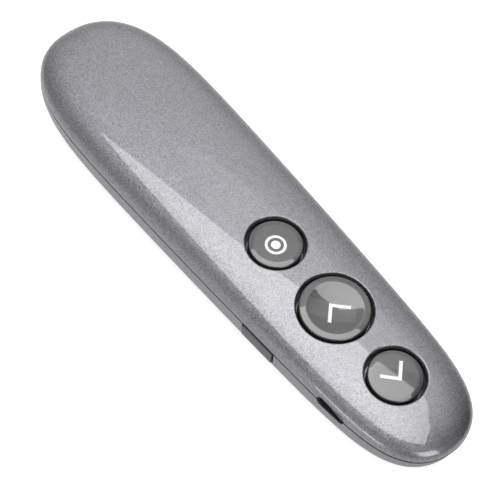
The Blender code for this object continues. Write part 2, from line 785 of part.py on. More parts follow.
def bottom_shell():
    """Lower half of the casing with its tongue, posts, ribs, bay and openings."""
    outer_form = form_bmesh(0.0, low=0.0, high=PARTING_Z - PARTING_GAP / 2)
    shell = add_part("bottom_shell", outer_form, "grey_lacquer")
    tongue = add_cutter("tongue_block", form_bmesh(
        TONGUE_OUTER_INSET, low=PARTING_Z - SHELL_WALL, high=PARTING_Z + TONGUE_HEIGHT))
    combine(shell, tongue, "UNION")
    hollow_top = PARTING_Z + TONGUE_HEIGHT + CUT_OVERRUN
    combine(shell, add_cutter("bottom_hollow_cutter", form_bmesh(SHELL_WALL, high=hollow_top)), "DIFFERENCE")

    furniture = bottom_furniture()
    limit = add_cutter("furniture_limit", form_bmesh(FURNITURE_INSET, low=BASE_FLAT_DEPTH))
    combine(furniture, limit, "INTERSECT")
    combine(shell, furniture, "UNION")

    combine(shell, key_notch_cutter(), "DIFFERENCE")
    combine(shell, bay_cutter(), "DIFFERENCE")
    combine(shell, finger_scoop_cutter(), "DIFFERENCE")
    bm = bmesh.new()
    rear, front = NOSE_Y - BARREL_FROM_NOSE - BARREL_LENGTH, NOSE_Y - BARREL_FROM_NOSE
    rod(bm, 0.0, PARTING_Z, BARREL_RADIUS + SEAT_GAP, rear, front)
    combine(shell, add_cutter("barrel_cutter", bm), "DIFFERENCE")

    bm = bmesh.new()
    for _, x, y in case_screw_places():
        post(bm, x, y, SCREW_HEAD_RADIUS + SEAT_GAP, -CUT_OVERRUN, CASE_SCREW_SEAT_Z)
    combine(shell, add_cutter("counterbore_cutter", bm), "DIFFERENCE")
    bm = bmesh.new()
    for _, x, y in case_screw_places():
        post(bm, x, y, SCREW_SHANK_RADIUS + SEAT_GAP, CASE_SCREW_SEAT_Z - SEAT_GAP, PARTING_Z + CUT_OVERRUN)
    for _, x, y in board_screw_places():
        post(bm, x, y, SCREW_SHANK_RADIUS + SEAT_GAP, BOARD_TOP_Z - BOARD_SCREW_LENGTH, PARTING_Z)
    combine(shell, add_cutter("screw_hole_cutter", bm), "DIFFERENCE")
    return shell


def casing():
    """Both shells, with the two openings that cross the parting line."""
    openings = (port_slot_cutter(), window_bore_cutter())
    for shell in (top_shell(), bottom_shell()):
        for opening in openings:
            combine(shell, opening, "DIFFERENCE")


# Buttons


def cap_profile(button):
    """Half section of a cap, from the centre of its top round to its stem."""
    radius = button.cap_radius
    rim = -button.recess
    edge = CAP_EDGE_RADIUS
    flat = radius - edge
    profile = []
    for index in range(CROWN_RINGS + 1):
        r = flat * index / CROWN_RINGS
        rise = button.rise * (1.0 - (r / flat) ** 2)
        dish_radius = radius * DISH_RADIUS_SHARE
        dip = button.dish * max(0.0, 1.0 - (r / dish_radius) ** 2)
        profile.append((r, rim + rise - dip))
    for angle in CAP_EDGE_ANGLES:
        profile.append((flat + edge * math.sin(angle), rim - edge + edge * math.cos(angle)))
    flange_bottom = flange_level(button) - CAP_FLANGE_HEIGHT
    under = min(height for _, height in profile[:CROWN_RINGS]) - CAP_TOP_WALL
    stem_bottom = stem_level(button)
    profile += [
        (radius, flange_level(button)),
        (button.flange_radius, flange_level(button)),
        (button.flange_radius, flange_bottom),
        (radius - CAP_SKIRT_WALL, flange_bottom),
        (radius - CAP_SKIRT_WALL, under),
        (STEM_RADIUS, under),
        (STEM_RADIUS, stem_bottom),
        (0.0, stem_bottom),
    ]
    return profile


def frame_depth(button):
    """Depth of the frame's lower face below the crown, out at a cap's flange."""
    inset = SHELL_WALL + SEAT_GAP + FRAME_THICKNESS
    width = half_width(button.y, inset)
    height = crown_height(button.y, inset)
    share = button.flange_radius / width
    lower_face = height * (1.0 - share ** CROWN_SECTION_POWER) ** (1.0 / CROWN_SECTION_POWER)
    return crown_height(button.y) - lower_face


def flange_level(button):
    """Height of a flange's upper face on the button's own axis, where the crown is zero."""
    return -frame_depth(button) - SEAT_GAP


def switch_top_z():
    """Height of a switch body's top face."""
    return BOARD_TOP_Z + SEAT_GAP + SWITCH_HEIGHT


def plunger_top_z():
    """Height of a switch plunger's top face."""
    return switch_top_z() + PLUNGER_STAND


def stem_level(button):
    """Height of a stem's end on the button's own axis, where the crown is zero."""
    return plunger_top_z() + SEAT_GAP - button_top(button).z


def button_group(button):
    """A cap with its switch: the cap and the plunger move, the switch body stays."""
    axis = add_axis(button.name + "_button_axis", button_top(button), (button_tilt(button), 0.0, 0.0))
    cap = turned_part(button.name + "_button_cap", cap_profile(button), "dark_gloss", CAP_STEPS)
    cap.parent = axis

    top = plunger_top_z() - button_top(button).z
    bottom = top - PLUNGER_HEIGHT
    plunger = turned_part(
        button.name + "_switch_plunger",
        [(0.0, top), (PLUNGER_RADIUS, top), (PLUNGER_RADIUS, bottom), (0.0, bottom)],
        "switch_white", PLUNGER_STEPS)
    plunger.parent = axis

    centre = on_button_axis(button, switch_top_z())
    reach = SWITCH_SIDE / 2
    base = box_part(
        button.name + "_switch_base",
        (-reach, centre.y - reach, BOARD_TOP_Z + SEAT_GAP), (reach, centre.y + reach, switch_top_z()),
        "switch_black", SWITCH_CORNER)
    bm = bmesh.new()
    well_bottom = switch_top_z() - (PLUNGER_HEIGHT - PLUNGER_STAND + BUTTON_TRAVEL + SEAT_GAP)
    post(bm, 0.0, centre.y, PLUNGER_RADIUS + SEAT_GAP, well_bottom, switch_top_z() + CUT_OVERRUN)
    combine(base, add_cutter(button.name + "_well_cutter", bm), "DIFFERENCE")


def button_frame():
    """The black frame under the top shell that lines the three holes."""
    outer_inset = SHELL_WALL + SEAT_GAP
    frame = add_part("button_frame", form_bmesh(outer_inset, low=PARTING_Z), "black_plastic")
    hollow_form = form_bmesh(outer_inset + FRAME_THICKNESS, low=PARTING_Z - CUT_OVERRUN)
    combine(frame, add_cutter("frame_hollow_cutter", hollow_form), "DIFFERENCE")
    bm = bmesh.new()
    for button in BUTTONS:
        reach = button.hole_radius + FRAME_MARGIN
        for step in range(CAP_STEPS):
            angle = 2 * math.pi * step / CAP_STEPS
            x, y = reach * math.cos(angle), button.y + reach * math.sin(angle)
            bm.verts.new((x, y, PARTING_Z))
            bm.verts.new((x, y, PARTING_Z + BELLY_DEPTH))
    hull = bmesh.ops.convex_hull(bm, input=bm.verts[:])
    inner_verts = set(hull["geom_interior"]) | set(hull["geom_unused"])
    bmesh.ops.delete(bm, geom=[vert for vert in inner_verts if isinstance(vert, bmesh.types.BMVert)])
    combine(frame, add_cutter("frame_limit", bm), "INTERSECT")
    bm = bmesh.new()
    for button in BUTTONS:
        button_bore(bm, button, button.cap_radius + SEAT_GAP, SHELL_WALL + FRAME_THICKNESS + CUT_OVERRUN)
    combine(frame, add_cutter("frame_hole_cutter", bm), "DIFFERENCE")


# Board


def main_board():
    """The circuit board, cut to the body's outline, with its screw holes."""
    board = add_part(
        "main_board", form_bmesh(BOARD_INSET, low=BOARD_BOTTOM_Z, high=BOARD_TOP_Z), "board_green")
    bm = bmesh.new()
    low, high = BOARD_BOTTOM_Z - CUT_OVERRUN, BOARD_TOP_Z + CUT_OVERRUN
    box(bm, (-BODY_LENGTH, BOARD_REAR_Y, low), (BODY_LENGTH, BOARD_FRONT_Y, high))
    combine(board, add_cutter("board_limit", bm), "INTERSECT")
    bm = bmesh.new()
    for _, x, y in board_screw_places():
        post(bm, x, y, SCREW_SHANK_RADIUS + SEAT_GAP, low, high)
    combine(board, add_cutter("board_hole_cutter", bm), "DIFFERENCE")


def chip(name, x, y, size, height, finish_name, width=None):
    """A flat component that stands on the board."""
    half_x, half_y = (width or size) / 2, size / 2
    low = BOARD_TOP_Z + SEAT_GAP
    high = low + height
    box_part(name, (x - half_x, y - half_y, low), (x + half_x, y + half_y, high), finish_name, CHIP_CORNER)


def board_components():
    """The chips and the crystal between the switches."""
    radio_y = (PAGE_UP_Y + LASER_Y) / 2
    crystal_y = radio_y + CRYSTAL_FROM_CHIP
    charging_y = (PAGE_DOWN_Y + PAGE_UP_Y) / 2
    radio_x = board_side_x(radio_y) - CHIP_FROM_BOARD_SIDE
    crystal_x = board_side_x(crystal_y) - CHIP_FROM_BOARD_SIDE
    charging_x = CHIP_FROM_BOARD_SIDE - board_side_x(charging_y)
    chip("radio_chip", radio_x, radio_y, CHIP_SIDE, CHIP_HEIGHT, "chip_black")
    chip("crystal", crystal_x, crystal_y, CRYSTAL_LENGTH, CRYSTAL_HEIGHT, "steel", CRYSTAL_WIDTH)
    chip("charging_chip", charging_x, charging_y, SMALL_CHIP_SIDE, CHIP_HEIGHT, "chip_black")


# Power key


def key_axis_z():
    """Height of the line along which the key pushes its switch."""
    return BOARD_BOTTOM_Z - SEAT_GAP - SIDE_SWITCH_HEIGHT / 2


def key_inner_x():
    """X of the innermost point of the key's flange beside its post."""
    inset = SHELL_WALL + SEAT_GAP + KEY_FLANGE_THICKNESS
    return -side_x(KEY_Y, key_axis_z() - KEY_POST_SIDE / 2, inset)


def side_plunger_tip_x():
    """X of the tip of the side switch's plunger."""
    return key_inner_x() + KEY_POST_LENGTH + SEAT_GAP


def side_switch_face_x():
    """X of the face of the side switch that its plunger stands out of."""
    return side_plunger_tip_x() + SIDE_PLUNGER_STAND


def power_key():
    """The side key: a proud face, a flange behind the wall and a post to its switch."""
    axis_z = key_axis_z()
    axis = add_axis("power_key_axis", (-half_width(KEY_Y), KEY_Y, axis_z))
    reach = KEY_NOTCH_LENGTH / 2 - SEAT_GAP
    low = PARTING_Z - KEY_NOTCH_DEPTH + SEAT_GAP
    high = PARTING_Z - KEY_TOP_DROP
    bm = bmesh.new()
    box(bm, (-half_width(KEY_Y) - BODY_HALF_WIDTH, KEY_Y - reach, low),
        (-half_width(KEY_Y) / 2, KEY_Y + reach, high))
    face_block = add_cutter("key_face_block", bm)
    soften(face_block, KEY_CORNER)
    outer = add_cutter("key_outer_form", form_bmesh(-KEY_PROUD))
    combine(face_block, outer, "INTERSECT")

    flange_outer = SHELL_WALL + SEAT_GAP
    key = add_part("power_key", form_bmesh(flange_outer), "key_grey")
    bm = bmesh.new()
    flange_reach = reach + KEY_FLANGE_REACH
    box(bm, (-BODY_LENGTH, KEY_Y - flange_reach, low - KEY_FLANGE_REACH), (0.0, KEY_Y + flange_reach, high))
    combine(key, add_cutter("key_flange_limit", bm), "INTERSECT")
    combine(key, face_block, "UNION")
    inner = add_cutter("key_inner_form", form_bmesh(flange_outer + KEY_FLANGE_THICKNESS))
    combine(key, inner, "DIFFERENCE")

    bm = bmesh.new()
    post_tip = key_inner_x() + KEY_POST_LENGTH
    half = KEY_POST_SIDE / 2
    root = -side_x(KEY_Y, axis_z - half, flange_outer + KEY_FLANGE_THICKNESS / 2)
    box(bm, (root, KEY_Y - half, axis_z - half), (post_tip, KEY_Y + half, axis_z + half))
    combine(key, add_cutter("key_post_block", bm), "UNION")
    place_under(key, axis)

    plunger = turned_part(
        "power_switch_plunger",
        [(0.0, SIDE_PLUNGER_STAND), (SIDE_PLUNGER_RADIUS, SIDE_PLUNGER_STAND),
         (SIDE_PLUNGER_RADIUS, -SIDE_PLUNGER_STAND), (0.0, -SIDE_PLUNGER_STAND)],
        "switch_white", PLUNGER_STEPS)
    plunger.rotation_euler = (0.0, -math.pi / 2, 0.0)
    plunger.location = (side_switch_face_x(), KEY_Y, axis_z)
    place_under(plunger, axis)


def side_switch():
    """The side-push switch under the board, behind the key."""
    axis_z = key_axis_z()
    face_x = side_switch_face_x()
    low = axis_z - SIDE_SWITCH_HEIGHT / 2
    base = box_part(
        "power_switch_base", (face_x, KEY_Y - SIDE_SWITCH_LENGTH / 2, low),
        (face_x + SIDE_SWITCH_DEPTH, KEY_Y + SIDE_SWITCH_LENGTH / 2, low + SIDE_SWITCH_HEIGHT),
        "switch_black", SWITCH_CORNER)
    bm = bmesh.new()
    well = SIDE_PLUNGER_STAND + KEY_TRAVEL + SEAT_GAP
    place = (Matrix.Translation((face_x + (well - CUT_OVERRUN) / 2, KEY_Y, axis_z))
             @ Matrix.Rotation(math.pi / 2, 4, "Y"))
    radius = SIDE_PLUNGER_RADIUS + SEAT_GAP
    bmesh.ops.create_cone(
        bm, cap_ends=True, segments=PLUNGER_STEPS, radius1=radius, radius2=radius, depth=well + CUT_OVERRUN,
        matrix=place)
    combine(base, add_cutter("side_well_cutter", bm), "DIFFERENCE")


def place_under(obj, axis):
    """Parent an object to an empty and keep it where it is."""
    obj.parent = axis
    obj.matrix_parent_inverse = Matrix.Translation(axis.location).inverted()


# Charging port


def charging_port():
    """The micro-USB receptacle: a folded steel shell round a plastic tongue."""
    mouth = -half_width(PORT_Y) + PORT_MOUTH_DROP
    back = mouth + PORT_DEPTH
    half_y = PORT_SLOT_LENGTH / 2 - SEAT_GAP
    half_z = PORT_SLOT_HEIGHT / 2 - SEAT_GAP
    shell = box_part(
        "charging_port_shell", (mouth, PORT_Y - half_y, PARTING_Z - half_z),
        (back, PORT_Y + half_y, PARTING_Z + half_z), "steel")
    round_along_x(shell, PORT_CORNER)
    bm = bmesh.new()
    wall = PORT_SHELL_WALL
    box(bm, (mouth - CUT_OVERRUN, PORT_Y - half_y + wall, PARTING_Z - half_z + wall),
        (back - wall, PORT_Y + half_y - wall, PARTING_Z + half_z - wall))
    cavity = add_cutter("port_cavity_cutter", bm)
    round_along_x(cavity, PORT_CORNER - wall)
    combine(shell, cavity, "DIFFERENCE")
    inner_back = back - wall - SEAT_GAP
    half_tongue_y = half_y / 2
    top = PARTING_Z + half_z - wall - SEAT_GAP
    tongue_low = (inner_back - PORT_TONGUE_LENGTH, PORT_Y - half_tongue_y, top - PORT_TONGUE_THICKNESS)
    tongue_high = (inner_back, PORT_Y + half_tongue_y, top)
    box_part("charging_port_tongue", tongue_low, tongue_high, "chip_black", CHIP_CORNER)


# Laser module


def lay_along_y(obj, y):
    """Turn a piece made about Z so that its top looks to the nose, at a station."""
    obj.rotation_euler = (-math.pi / 2, 0.0, 0.0)
    obj.location = (0.0, y, PARTING_Z)


def domed_disc(radius, front, rise, back):
    """Half section of a disc with a domed front."""
    profile = []
    for index in range(CROWN_RINGS + 1):
        r = radius * index / CROWN_RINGS
        profile.append((r, front + rise * (1.0 - (r / radius) ** 2)))
    profile += [(radius, back), (0.0, back)]
    return profile


def laser_module():
    """Window, barrel, lens and diode on one line in the nose."""
    window_profile = domed_disc(WINDOW_RADIUS, 0.0, WINDOW_RISE, -WINDOW_THICKNESS)
    window = turned_part("laser_window", window_profile, "clear_window", CAP_STEPS)
    lay_along_y(window, NOSE_Y - WINDOW_DROP)

    outer, bore = BARREL_RADIUS, BARREL_BORE_RADIUS
    barrel_front = NOSE_Y - BARREL_FROM_NOSE
    barrel = turned_part(
        "laser_barrel", [(outer, 0.0), (outer, -BARREL_LENGTH), (bore, -BARREL_LENGTH), (bore, 0.0)],
        "brass", CAP_STEPS, closed=True)
    lay_along_y(barrel, barrel_front)

    lens_profile = domed_disc(bore - SEAT_GAP, 0.0, LENS_RISE, -LENS_THICKNESS)
    lens = turned_part("laser_lens", lens_profile, "lens_glass", PLUNGER_STEPS)
    lay_along_y(lens, barrel_front - LENS_DROP)

    flange = DIODE_FLANGE_RADIUS
    diode = turned_part(
        "laser_diode",
        [(0.0, DIODE_LENGTH), (DIODE_RADIUS, DIODE_LENGTH), (DIODE_RADIUS, DIODE_FLANGE_LENGTH),
         (flange, DIODE_FLANGE_LENGTH), (flange, 0.0), (0.0, 0.0)],
        "gold_can", PLUNGER_STEPS)
    lay_along_y(diode, diode_back_y())


def diode_back_y():
    """Station of the diode's rear face."""
    return NOSE_Y - BARREL_FROM_NOSE - BARREL_LENGTH - DIODE_OUT


def laser_wires():
    """Two wires from the diode, over the cell, to pads at the board's front edge."""
    start = diode_back_y() - SEAT_GAP
    run_z = cell_bottom_z() + CELL_THICKNESS + SEAT_GAP + LASER_WIRE_RADIUS
    pad_y = BOARD_FRONT_Y - LASER_WIRE_PAD_MARGIN
    pad_z = BOARD_TOP_Z + SEAT_GAP + LASER_WIRE_RADIUS
    run_x = (SCREW_HEAD_RADIUS - front_post_x() + socket_x() - PLUG_WIDTH / 2) / 2
    leads = (("laser_lead_red", -1.0, "wire_red"), ("laser_lead_black", 1.0, "wire_black"))
    for name, side, finish_name in leads:
        near = side * DIODE_RADIUS / 2
        far = run_x + side * LASER_WIRE_RADIUS * 2
        points = (
            (near, start, PARTING_Z),
            (near, start - WIRE_STRAIGHT, PARTING_Z),
            (far, start - LASER_WIRE_CLIMB, run_z),
            (far, (start + pad_y) / 2, run_z),
            (far, BOARD_FRONT_Y + LASER_WIRE_CLIMB, run_z),
            (far, BOARD_FRONT_Y + WIRE_STRAIGHT, pad_z),
            (far, pad_y, pad_z),
        )
        wire(name, points, LASER_WIRE_RADIUS, LASER_WIRE_PITCH, finish_name)


# Battery


def cell_bottom_z():
    """Height of the cell's lower face, which clears the curved floor at the cell's corners."""
    side = cell_half_width()
    return max(floor_z(side, CELL_REAR_Y), floor_z(side, CELL_FRONT_Y)) + SEAT_GAP


def cell_half_width():
    """Half width of the cell, a set way inside the side walls."""
    return half_width(CELL_REAR_Y, SHELL_WALL) - CELL_FROM_WALL


def socket_x():
    """Place of the battery socket across the board, beside the right front screw."""
    return front_post_x() - SOCKET_FROM_SCREW


def battery():
    """The pouch cell on its pad, with its leads, plug and socket."""
    cell_low = cell_bottom_z()
    cell_side = cell_half_width()
    box_part(
        "battery_cell", (-cell_side, CELL_REAR_Y, cell_low),
        (cell_side, CELL_FRONT_Y, cell_low + CELL_THICKNESS), "cell_foil", CELL_CORNER)
    pad = add_part("battery_pad", form_bmesh(SHELL_WALL + SEAT_GAP, high=cell_low - SEAT_GAP), "foam_white")
    pad_reach = cell_side - PAD_MARGIN
    bm = bmesh.new()
    box(bm, (-pad_reach, CELL_REAR_Y + PAD_MARGIN, 0.0), (pad_reach, CELL_FRONT_Y - PAD_MARGIN, PARTING_Z))
    combine(pad, add_cutter("pad_limit", bm), "INTERSECT")

    socket_low = BOARD_TOP_Z + SEAT_GAP
    socket_front = BOARD_FRONT_Y - SOCKET_FROM_EDGE
    half = PLUG_WIDTH / 2
    x = socket_x()
    box_part(
        "battery_socket", (x - half, socket_front - SOCKET_LENGTH, socket_low),
        (x + half, socket_front, socket_low + SOCKET_HEIGHT), "connector_white", CHIP_CORNER)
    plug_rear = socket_front + SEAT_GAP
    plug_front = plug_rear + PLUG_LENGTH
    plug_low = socket_low + (SOCKET_HEIGHT - PLUG_HEIGHT) / 2
    box_part(
        "battery_plug", (x - half, plug_rear, plug_low), (x + half, plug_front, plug_low + PLUG_HEIGHT),
        "connector_white", CHIP_CORNER)

    plug_z = plug_low + PLUG_HEIGHT / 2
    cell_z = cell_low + CELL_THICKNESS / 2
    leads = (("battery_lead_red", 1.0, "wire_red"), ("battery_lead_black", -1.0, "wire_black"))
    for name, side, finish_name in leads:
        lead_x = x + side * half / 2
        start = plug_front + SEAT_GAP
        end = CELL_REAR_Y - SEAT_GAP
        points = (
            (lead_x, start, plug_z),
            (lead_x, start + WIRE_STRAIGHT, plug_z),
            (lead_x, end - WIRE_STRAIGHT, cell_z),
            (lead_x, end, cell_z),
        )
        wire(name, points, WIRE_RADIUS, WIRE_PITCH, finish_name)


# Screws


def screw_profile(length):
    """Half section of a pan-head screw that points up, with its head's seat at zero."""
    head, shank = SCREW_HEAD_RADIUS, SCREW_SHANK_RADIUS
    return [
        (0.0, length), (shank / 2, length), (shank, length - shank), (shank, 0.0), (head, 0.0),
        (head, SCREW_HEAD_EDGE - SCREW_HEAD_HEIGHT), (head - SCREW_HEAD_EDGE, -SCREW_HEAD_HEIGHT),
        (0.0, -SCREW_HEAD_HEIGHT),
    ]


def screws():
    """Four case screws driven up from the underside and three board screws driven down."""
    for name, x, y in case_screw_places():
        screw = turned_part(name, screw_profile(CASE_SCREW_LENGTH), "steel", SCREW_STEPS)
        screw.location = (x, y, CASE_SCREW_SEAT_Z - SEAT_GAP)
    for name, x, y in board_screw_places():
        screw = turned_part(name, screw_profile(BOARD_SCREW_LENGTH), "steel", SCREW_STEPS)
        screw.rotation_euler = (math.pi, 0.0, 0.0)
        screw.location = (x, y, BOARD_TOP_Z + SEAT_GAP)


# Receiver


def receiver():
    """The plug-in receiver, lying in its bay with its plug towards the nose."""
    x = receiver_x()
    axis = add_axis("receiver_axis", (x, RECEIVER_Y, SEAT_GAP))
    rear = RECEIVER_Y - RECEIVER_LENGTH / 2
    housing_front = rear + RECEIVER_HOUSING_LENGTH
    half = RECEIVER_WIDTH / 2
    housing = box_part(
        "receiver_housing", (x - half, rear, SEAT_GAP),
        (x + half, housing_front, SEAT_GAP + RECEIVER_HEIGHT), "black_plastic", RECEIVER_CORNER)
    place_under(housing, axis)

    middle = SEAT_GAP + RECEIVER_HEIGHT / 2
    plug_half_x, plug_half_z = RECEIVER_PLUG_WIDTH / 2, RECEIVER_PLUG_HEIGHT / 2
    plug_rear = housing_front + SEAT_GAP
    plug_front = plug_rear + RECEIVER_PLUG_LENGTH
    wall = RECEIVER_PLUG_WALL
    plug = box_part(
        "receiver_plug_shell", (x - plug_half_x, plug_rear, middle - plug_half_z),
        (x + plug_half_x, plug_front, middle + plug_half_z), "steel")
    bm = bmesh.new()
    box(bm, (x - plug_half_x + wall, plug_rear - CUT_OVERRUN, middle - plug_half_z + wall),
        (x + plug_half_x - wall, plug_front + CUT_OVERRUN, middle + plug_half_z - wall))
    combine(plug, add_cutter("receiver_plug_cutter", bm), "DIFFERENCE")
    place_under(plug, axis)

    inner = plug_half_x - wall - SEAT_GAP
    low = middle - plug_half_z + wall + SEAT_GAP
    contacts = box_part(
        "receiver_contact_board", (x - inner, plug_rear, low),
        (x + inner, plug_front - wall, low + RECEIVER_BOARD_THICKNESS), "connector_white")
    place_under(contacts, axis)

    _, bay_front = bay_ends()
    magnet_rear = bay_front + BAY_WALL + SEAT_GAP
    magnet_left, magnet_right = x - MAGNET_WIDTH / 2, x + MAGNET_WIDTH / 2
    magnet_low = max(floor_z(magnet_left, magnet_rear), floor_z(magnet_right, magnet_rear)) + SEAT_GAP
    box_part(
        "receiver_magnet", (magnet_left, magnet_rear, magnet_low),
        (magnet_right, magnet_rear + MAGNET_LENGTH, magnet_low + MAGNET_HEIGHT), "magnet_nickel")


clear_scene()
parts = new_collection("wireless_presenter")
cutters = new_collection("cutters")

casing()
button_frame()
for each_button in BUTTONS:
    button_group(each_button)
main_board()
board_components()
power_key()
side_switch()
charging_port()
laser_module()
laser_wires()
battery()
screws()
receiver()
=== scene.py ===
"""The dressed model of a wireless presenter: finely formed shells, buttons, key and openings
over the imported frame, procedural finishes for every piece, and a plain pale studio. Sizes are
in metres. +Z is up, +Y points to the nose, and the origin is at the centre of the flat
underside."""

import json
import logging
import math
from dataclasses import dataclass
from enum import Enum
from typing import Iterable

import bmesh
import bpy
import numpy as np
from mathutils import Matrix, Vector


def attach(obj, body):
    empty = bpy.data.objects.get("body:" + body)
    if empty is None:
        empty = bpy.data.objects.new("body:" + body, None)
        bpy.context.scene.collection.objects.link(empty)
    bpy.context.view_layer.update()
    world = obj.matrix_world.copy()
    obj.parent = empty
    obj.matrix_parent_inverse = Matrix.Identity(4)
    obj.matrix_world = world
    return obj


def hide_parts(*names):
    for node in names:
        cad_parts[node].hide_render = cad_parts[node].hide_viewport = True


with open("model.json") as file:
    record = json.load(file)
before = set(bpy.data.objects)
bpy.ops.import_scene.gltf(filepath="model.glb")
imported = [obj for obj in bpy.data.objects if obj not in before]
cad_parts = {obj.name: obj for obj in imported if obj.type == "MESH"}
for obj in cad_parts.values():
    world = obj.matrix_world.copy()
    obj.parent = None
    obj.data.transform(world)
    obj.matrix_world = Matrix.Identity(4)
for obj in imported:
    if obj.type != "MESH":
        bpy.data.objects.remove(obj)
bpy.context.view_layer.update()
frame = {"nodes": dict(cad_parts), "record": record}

LOG = logging.getLogger("presenter")
SEAT_GAP = 0.0003
PARTING_GAP = 0.00044
SHELL_WALL = 0.0016
PORT_Y = -0.0466
KEY_Y = -0.0236
NOTCH_LENGTH = 0.01036
NOTCH_DEPTH = 0.0041
WELD_DISTANCE = 0.000002
TINY = 0.000000001
REST_ANGLE = math.radians(32)
CAP_ANGLE = math.radians(28)
MARK_ANGLE = math.radians(40)
SKIN_ANGLE = math.radians(50)
UP = (0.0, 0.0, 1.0)
WHITE = (1.0, 1.0, 1.0, 1.0)
RIGHT = Vector((1.0, 0.0, 0.0))
LEFT = Vector((-1.0, 0.0, 0.0))
AHEAD = Vector((0.0, 1.0, 0.0))
Pair = tuple[float, float]
Triple = tuple[float, float, float]


# Work with Blender's operators


def deselect() -> None:
    """Leave nothing selected, in object mode."""
    active = bpy.context.view_layer.objects.active
    if active is not None and active.mode != "OBJECT":
        bpy.ops.object.mode_set(mode="OBJECT")
    bpy.ops.object.select_all(action="DESELECT")


def pick(obj: bpy.types.Object) -> bpy.types.Object:
    """Select one object alone and make it the active one.

    Args:
        obj: The object.

    Returns:
        The same object.
    """
    deselect()
    obj.select_set(True)
    bpy.context.view_layer.objects.active = obj
    return obj


def edit(obj: bpy.types.Object, mode: str = "VERT", action: str = "DESELECT") -> None:
    """Go into edit mode on one object with nothing selected, or all of it where the action is SELECT.

    Args:
        obj: The object.
        mode: VERT, EDGE or FACE.
        action: DESELECT or SELECT.
    """
    pick(obj)
    bpy.ops.object.mode_set(mode="EDIT")
    bpy.ops.mesh.select_mode(type=mode)
    bpy.ops.mesh.select_all(action=action)


def leave_edit() -> None:
    """Go back to object mode."""
    bpy.ops.object.mode_set(mode="OBJECT")


def settle(obj: bpy.types.Object) -> bpy.types.Object:
    """Put an object's place, turn and size into its mesh.

    Args:
        obj: The object.

    Returns:
        The same object.
    """
    pick(obj)
    bpy.ops.object.transform_apply(location=True, rotation=True, scale=True)
    return obj


def move(obj: bpy.types.Object, matrix: Matrix) -> bpy.types.Object:
    """Carry a finished mesh to a place by a matrix that ends up in the mesh.

    Args:
        obj: The object.
        matrix: Where it goes.

    Returns:
        The same object.
    """
    obj.matrix_world = matrix
    bpy.context.view_layer.update()
    return settle(obj)


def apply_all(obj: bpy.types.Object) -> bpy.types.Object:
    """Apply every modifier of an object in order.

    Args:
        obj: The object.

    Returns:
        The same object.
    """
    pick(obj)
    for modifier in list(obj.modifiers):
        bpy.ops.object.modifier_apply(modifier=modifier.name)
    return obj


def remove(*objects: bpy.types.Object) -> None:
    """Delete shapes that are used up."""
    for obj in objects:
        bpy.data.objects.remove(obj, do_unlink=True)


def named(name: str) -> bpy.types.Object:
    """Name the object that Blender has just added, and return it."""
    bpy.context.active_object.name = name
    return bpy.context.active_object


def block(name: str, low: Triple, high: Triple) -> bpy.types.Object:
    """Add a box between two corners.

    Args:
        name: Name of the new object.
        low: Lowest corner.
        high: Highest corner.

    Returns:
        The box, with its place in its mesh.
    """
    deselect()
    centre = [(a + b) / 2 for a, b in zip(low, high)]
    bpy.ops.mesh.primitive_cube_add(size=1.0, location=centre)
    obj = named(name)
    obj.scale = [b - a for a, b in zip(low, high)]
    return settle(obj)


def rod(name: str, centre: Triple, radius: float, length: float, steps: int = 48,
        turn: Triple = (0.0, 0.0, 0.0)) -> bpy.types.Object:
    """Add a cylinder about a centre.

    Args:
        name: Name of the new object.
        centre: Middle of the cylinder.
        radius: Its radius.
        length: Its length.
        steps: Number of sides.
        turn: Euler angles from upright.

    Returns:
        The cylinder, with its place in its mesh.
    """
    deselect()
    bpy.ops.mesh.primitive_cylinder_add(
        vertices=steps, radius=radius, depth=length, location=centre, rotation=turn)
    return settle(named(name))


def weld(obj: bpy.types.Object) -> bpy.types.Object:
    """Merge the points of a mesh that coincide, and turn its faces outwards.

    Args:
        obj: The object.

    Returns:
        The same object.
    """
    edit(obj, action="SELECT")
    bpy.ops.mesh.remove_doubles(threshold=WELD_DISTANCE)
    bpy.ops.mesh.normals_make_consistent(inside=False)
    leave_edit()
    return obj


def turned(name: str, section: list[Pair], steps: int) -> bpy.types.Object:
    """Turn a half section about Z, drawn as by hand from one extruded point.

    Args:
        name: Name of the new object.
        section: Radius and height of each point of the half section.
        steps: Number of steps round.

    Returns:
        The turned solid, closed and with its faces outwards.
    """
    deselect()
    bpy.ops.mesh.primitive_plane_add(size=0.001, enter_editmode=True)
    bpy.ops.mesh.select_mode(type="VERT")
    bpy.ops.mesh.select_all(action="SELECT")
    bpy.ops.mesh.merge(type="CENTER")
    obj = named(name)
    before = (0.0, 0.0)
    for index, (radius, height) in enumerate(section):
        step = (radius - before[0], 0.0, height - before[1])
        if index == 0:
            bpy.ops.transform.translate(value=step)
        else:
            bpy.ops.mesh.extrude_vertices_move(TRANSFORM_OT_translate={"value": step})
        before = (radius, height)
    bpy.ops.mesh.select_all(action="SELECT")
    bpy.ops.mesh.spin(steps=steps, angle=math.tau, center=(0.0, 0.0, 0.0), axis=UP)
    return weld(obj)


def boolean(obj: bpy.types.Object, tool: bpy.types.Object, operation: str) -> bpy.types.Object:
    """Cut, join or limit a piece by a tool shape, which is used up.

    Args:
        obj: The piece.
        tool: The other shape.
        operation: DIFFERENCE, UNION or INTERSECT.

    Returns:
        The piece.
    """
    modifier = obj.modifiers.new(operation.lower(), "BOOLEAN")
    modifier.operation = operation
    modifier.object = tool
    modifier.solver = "EXACT"
    apply_all(obj)
    remove(tool)
    return obj


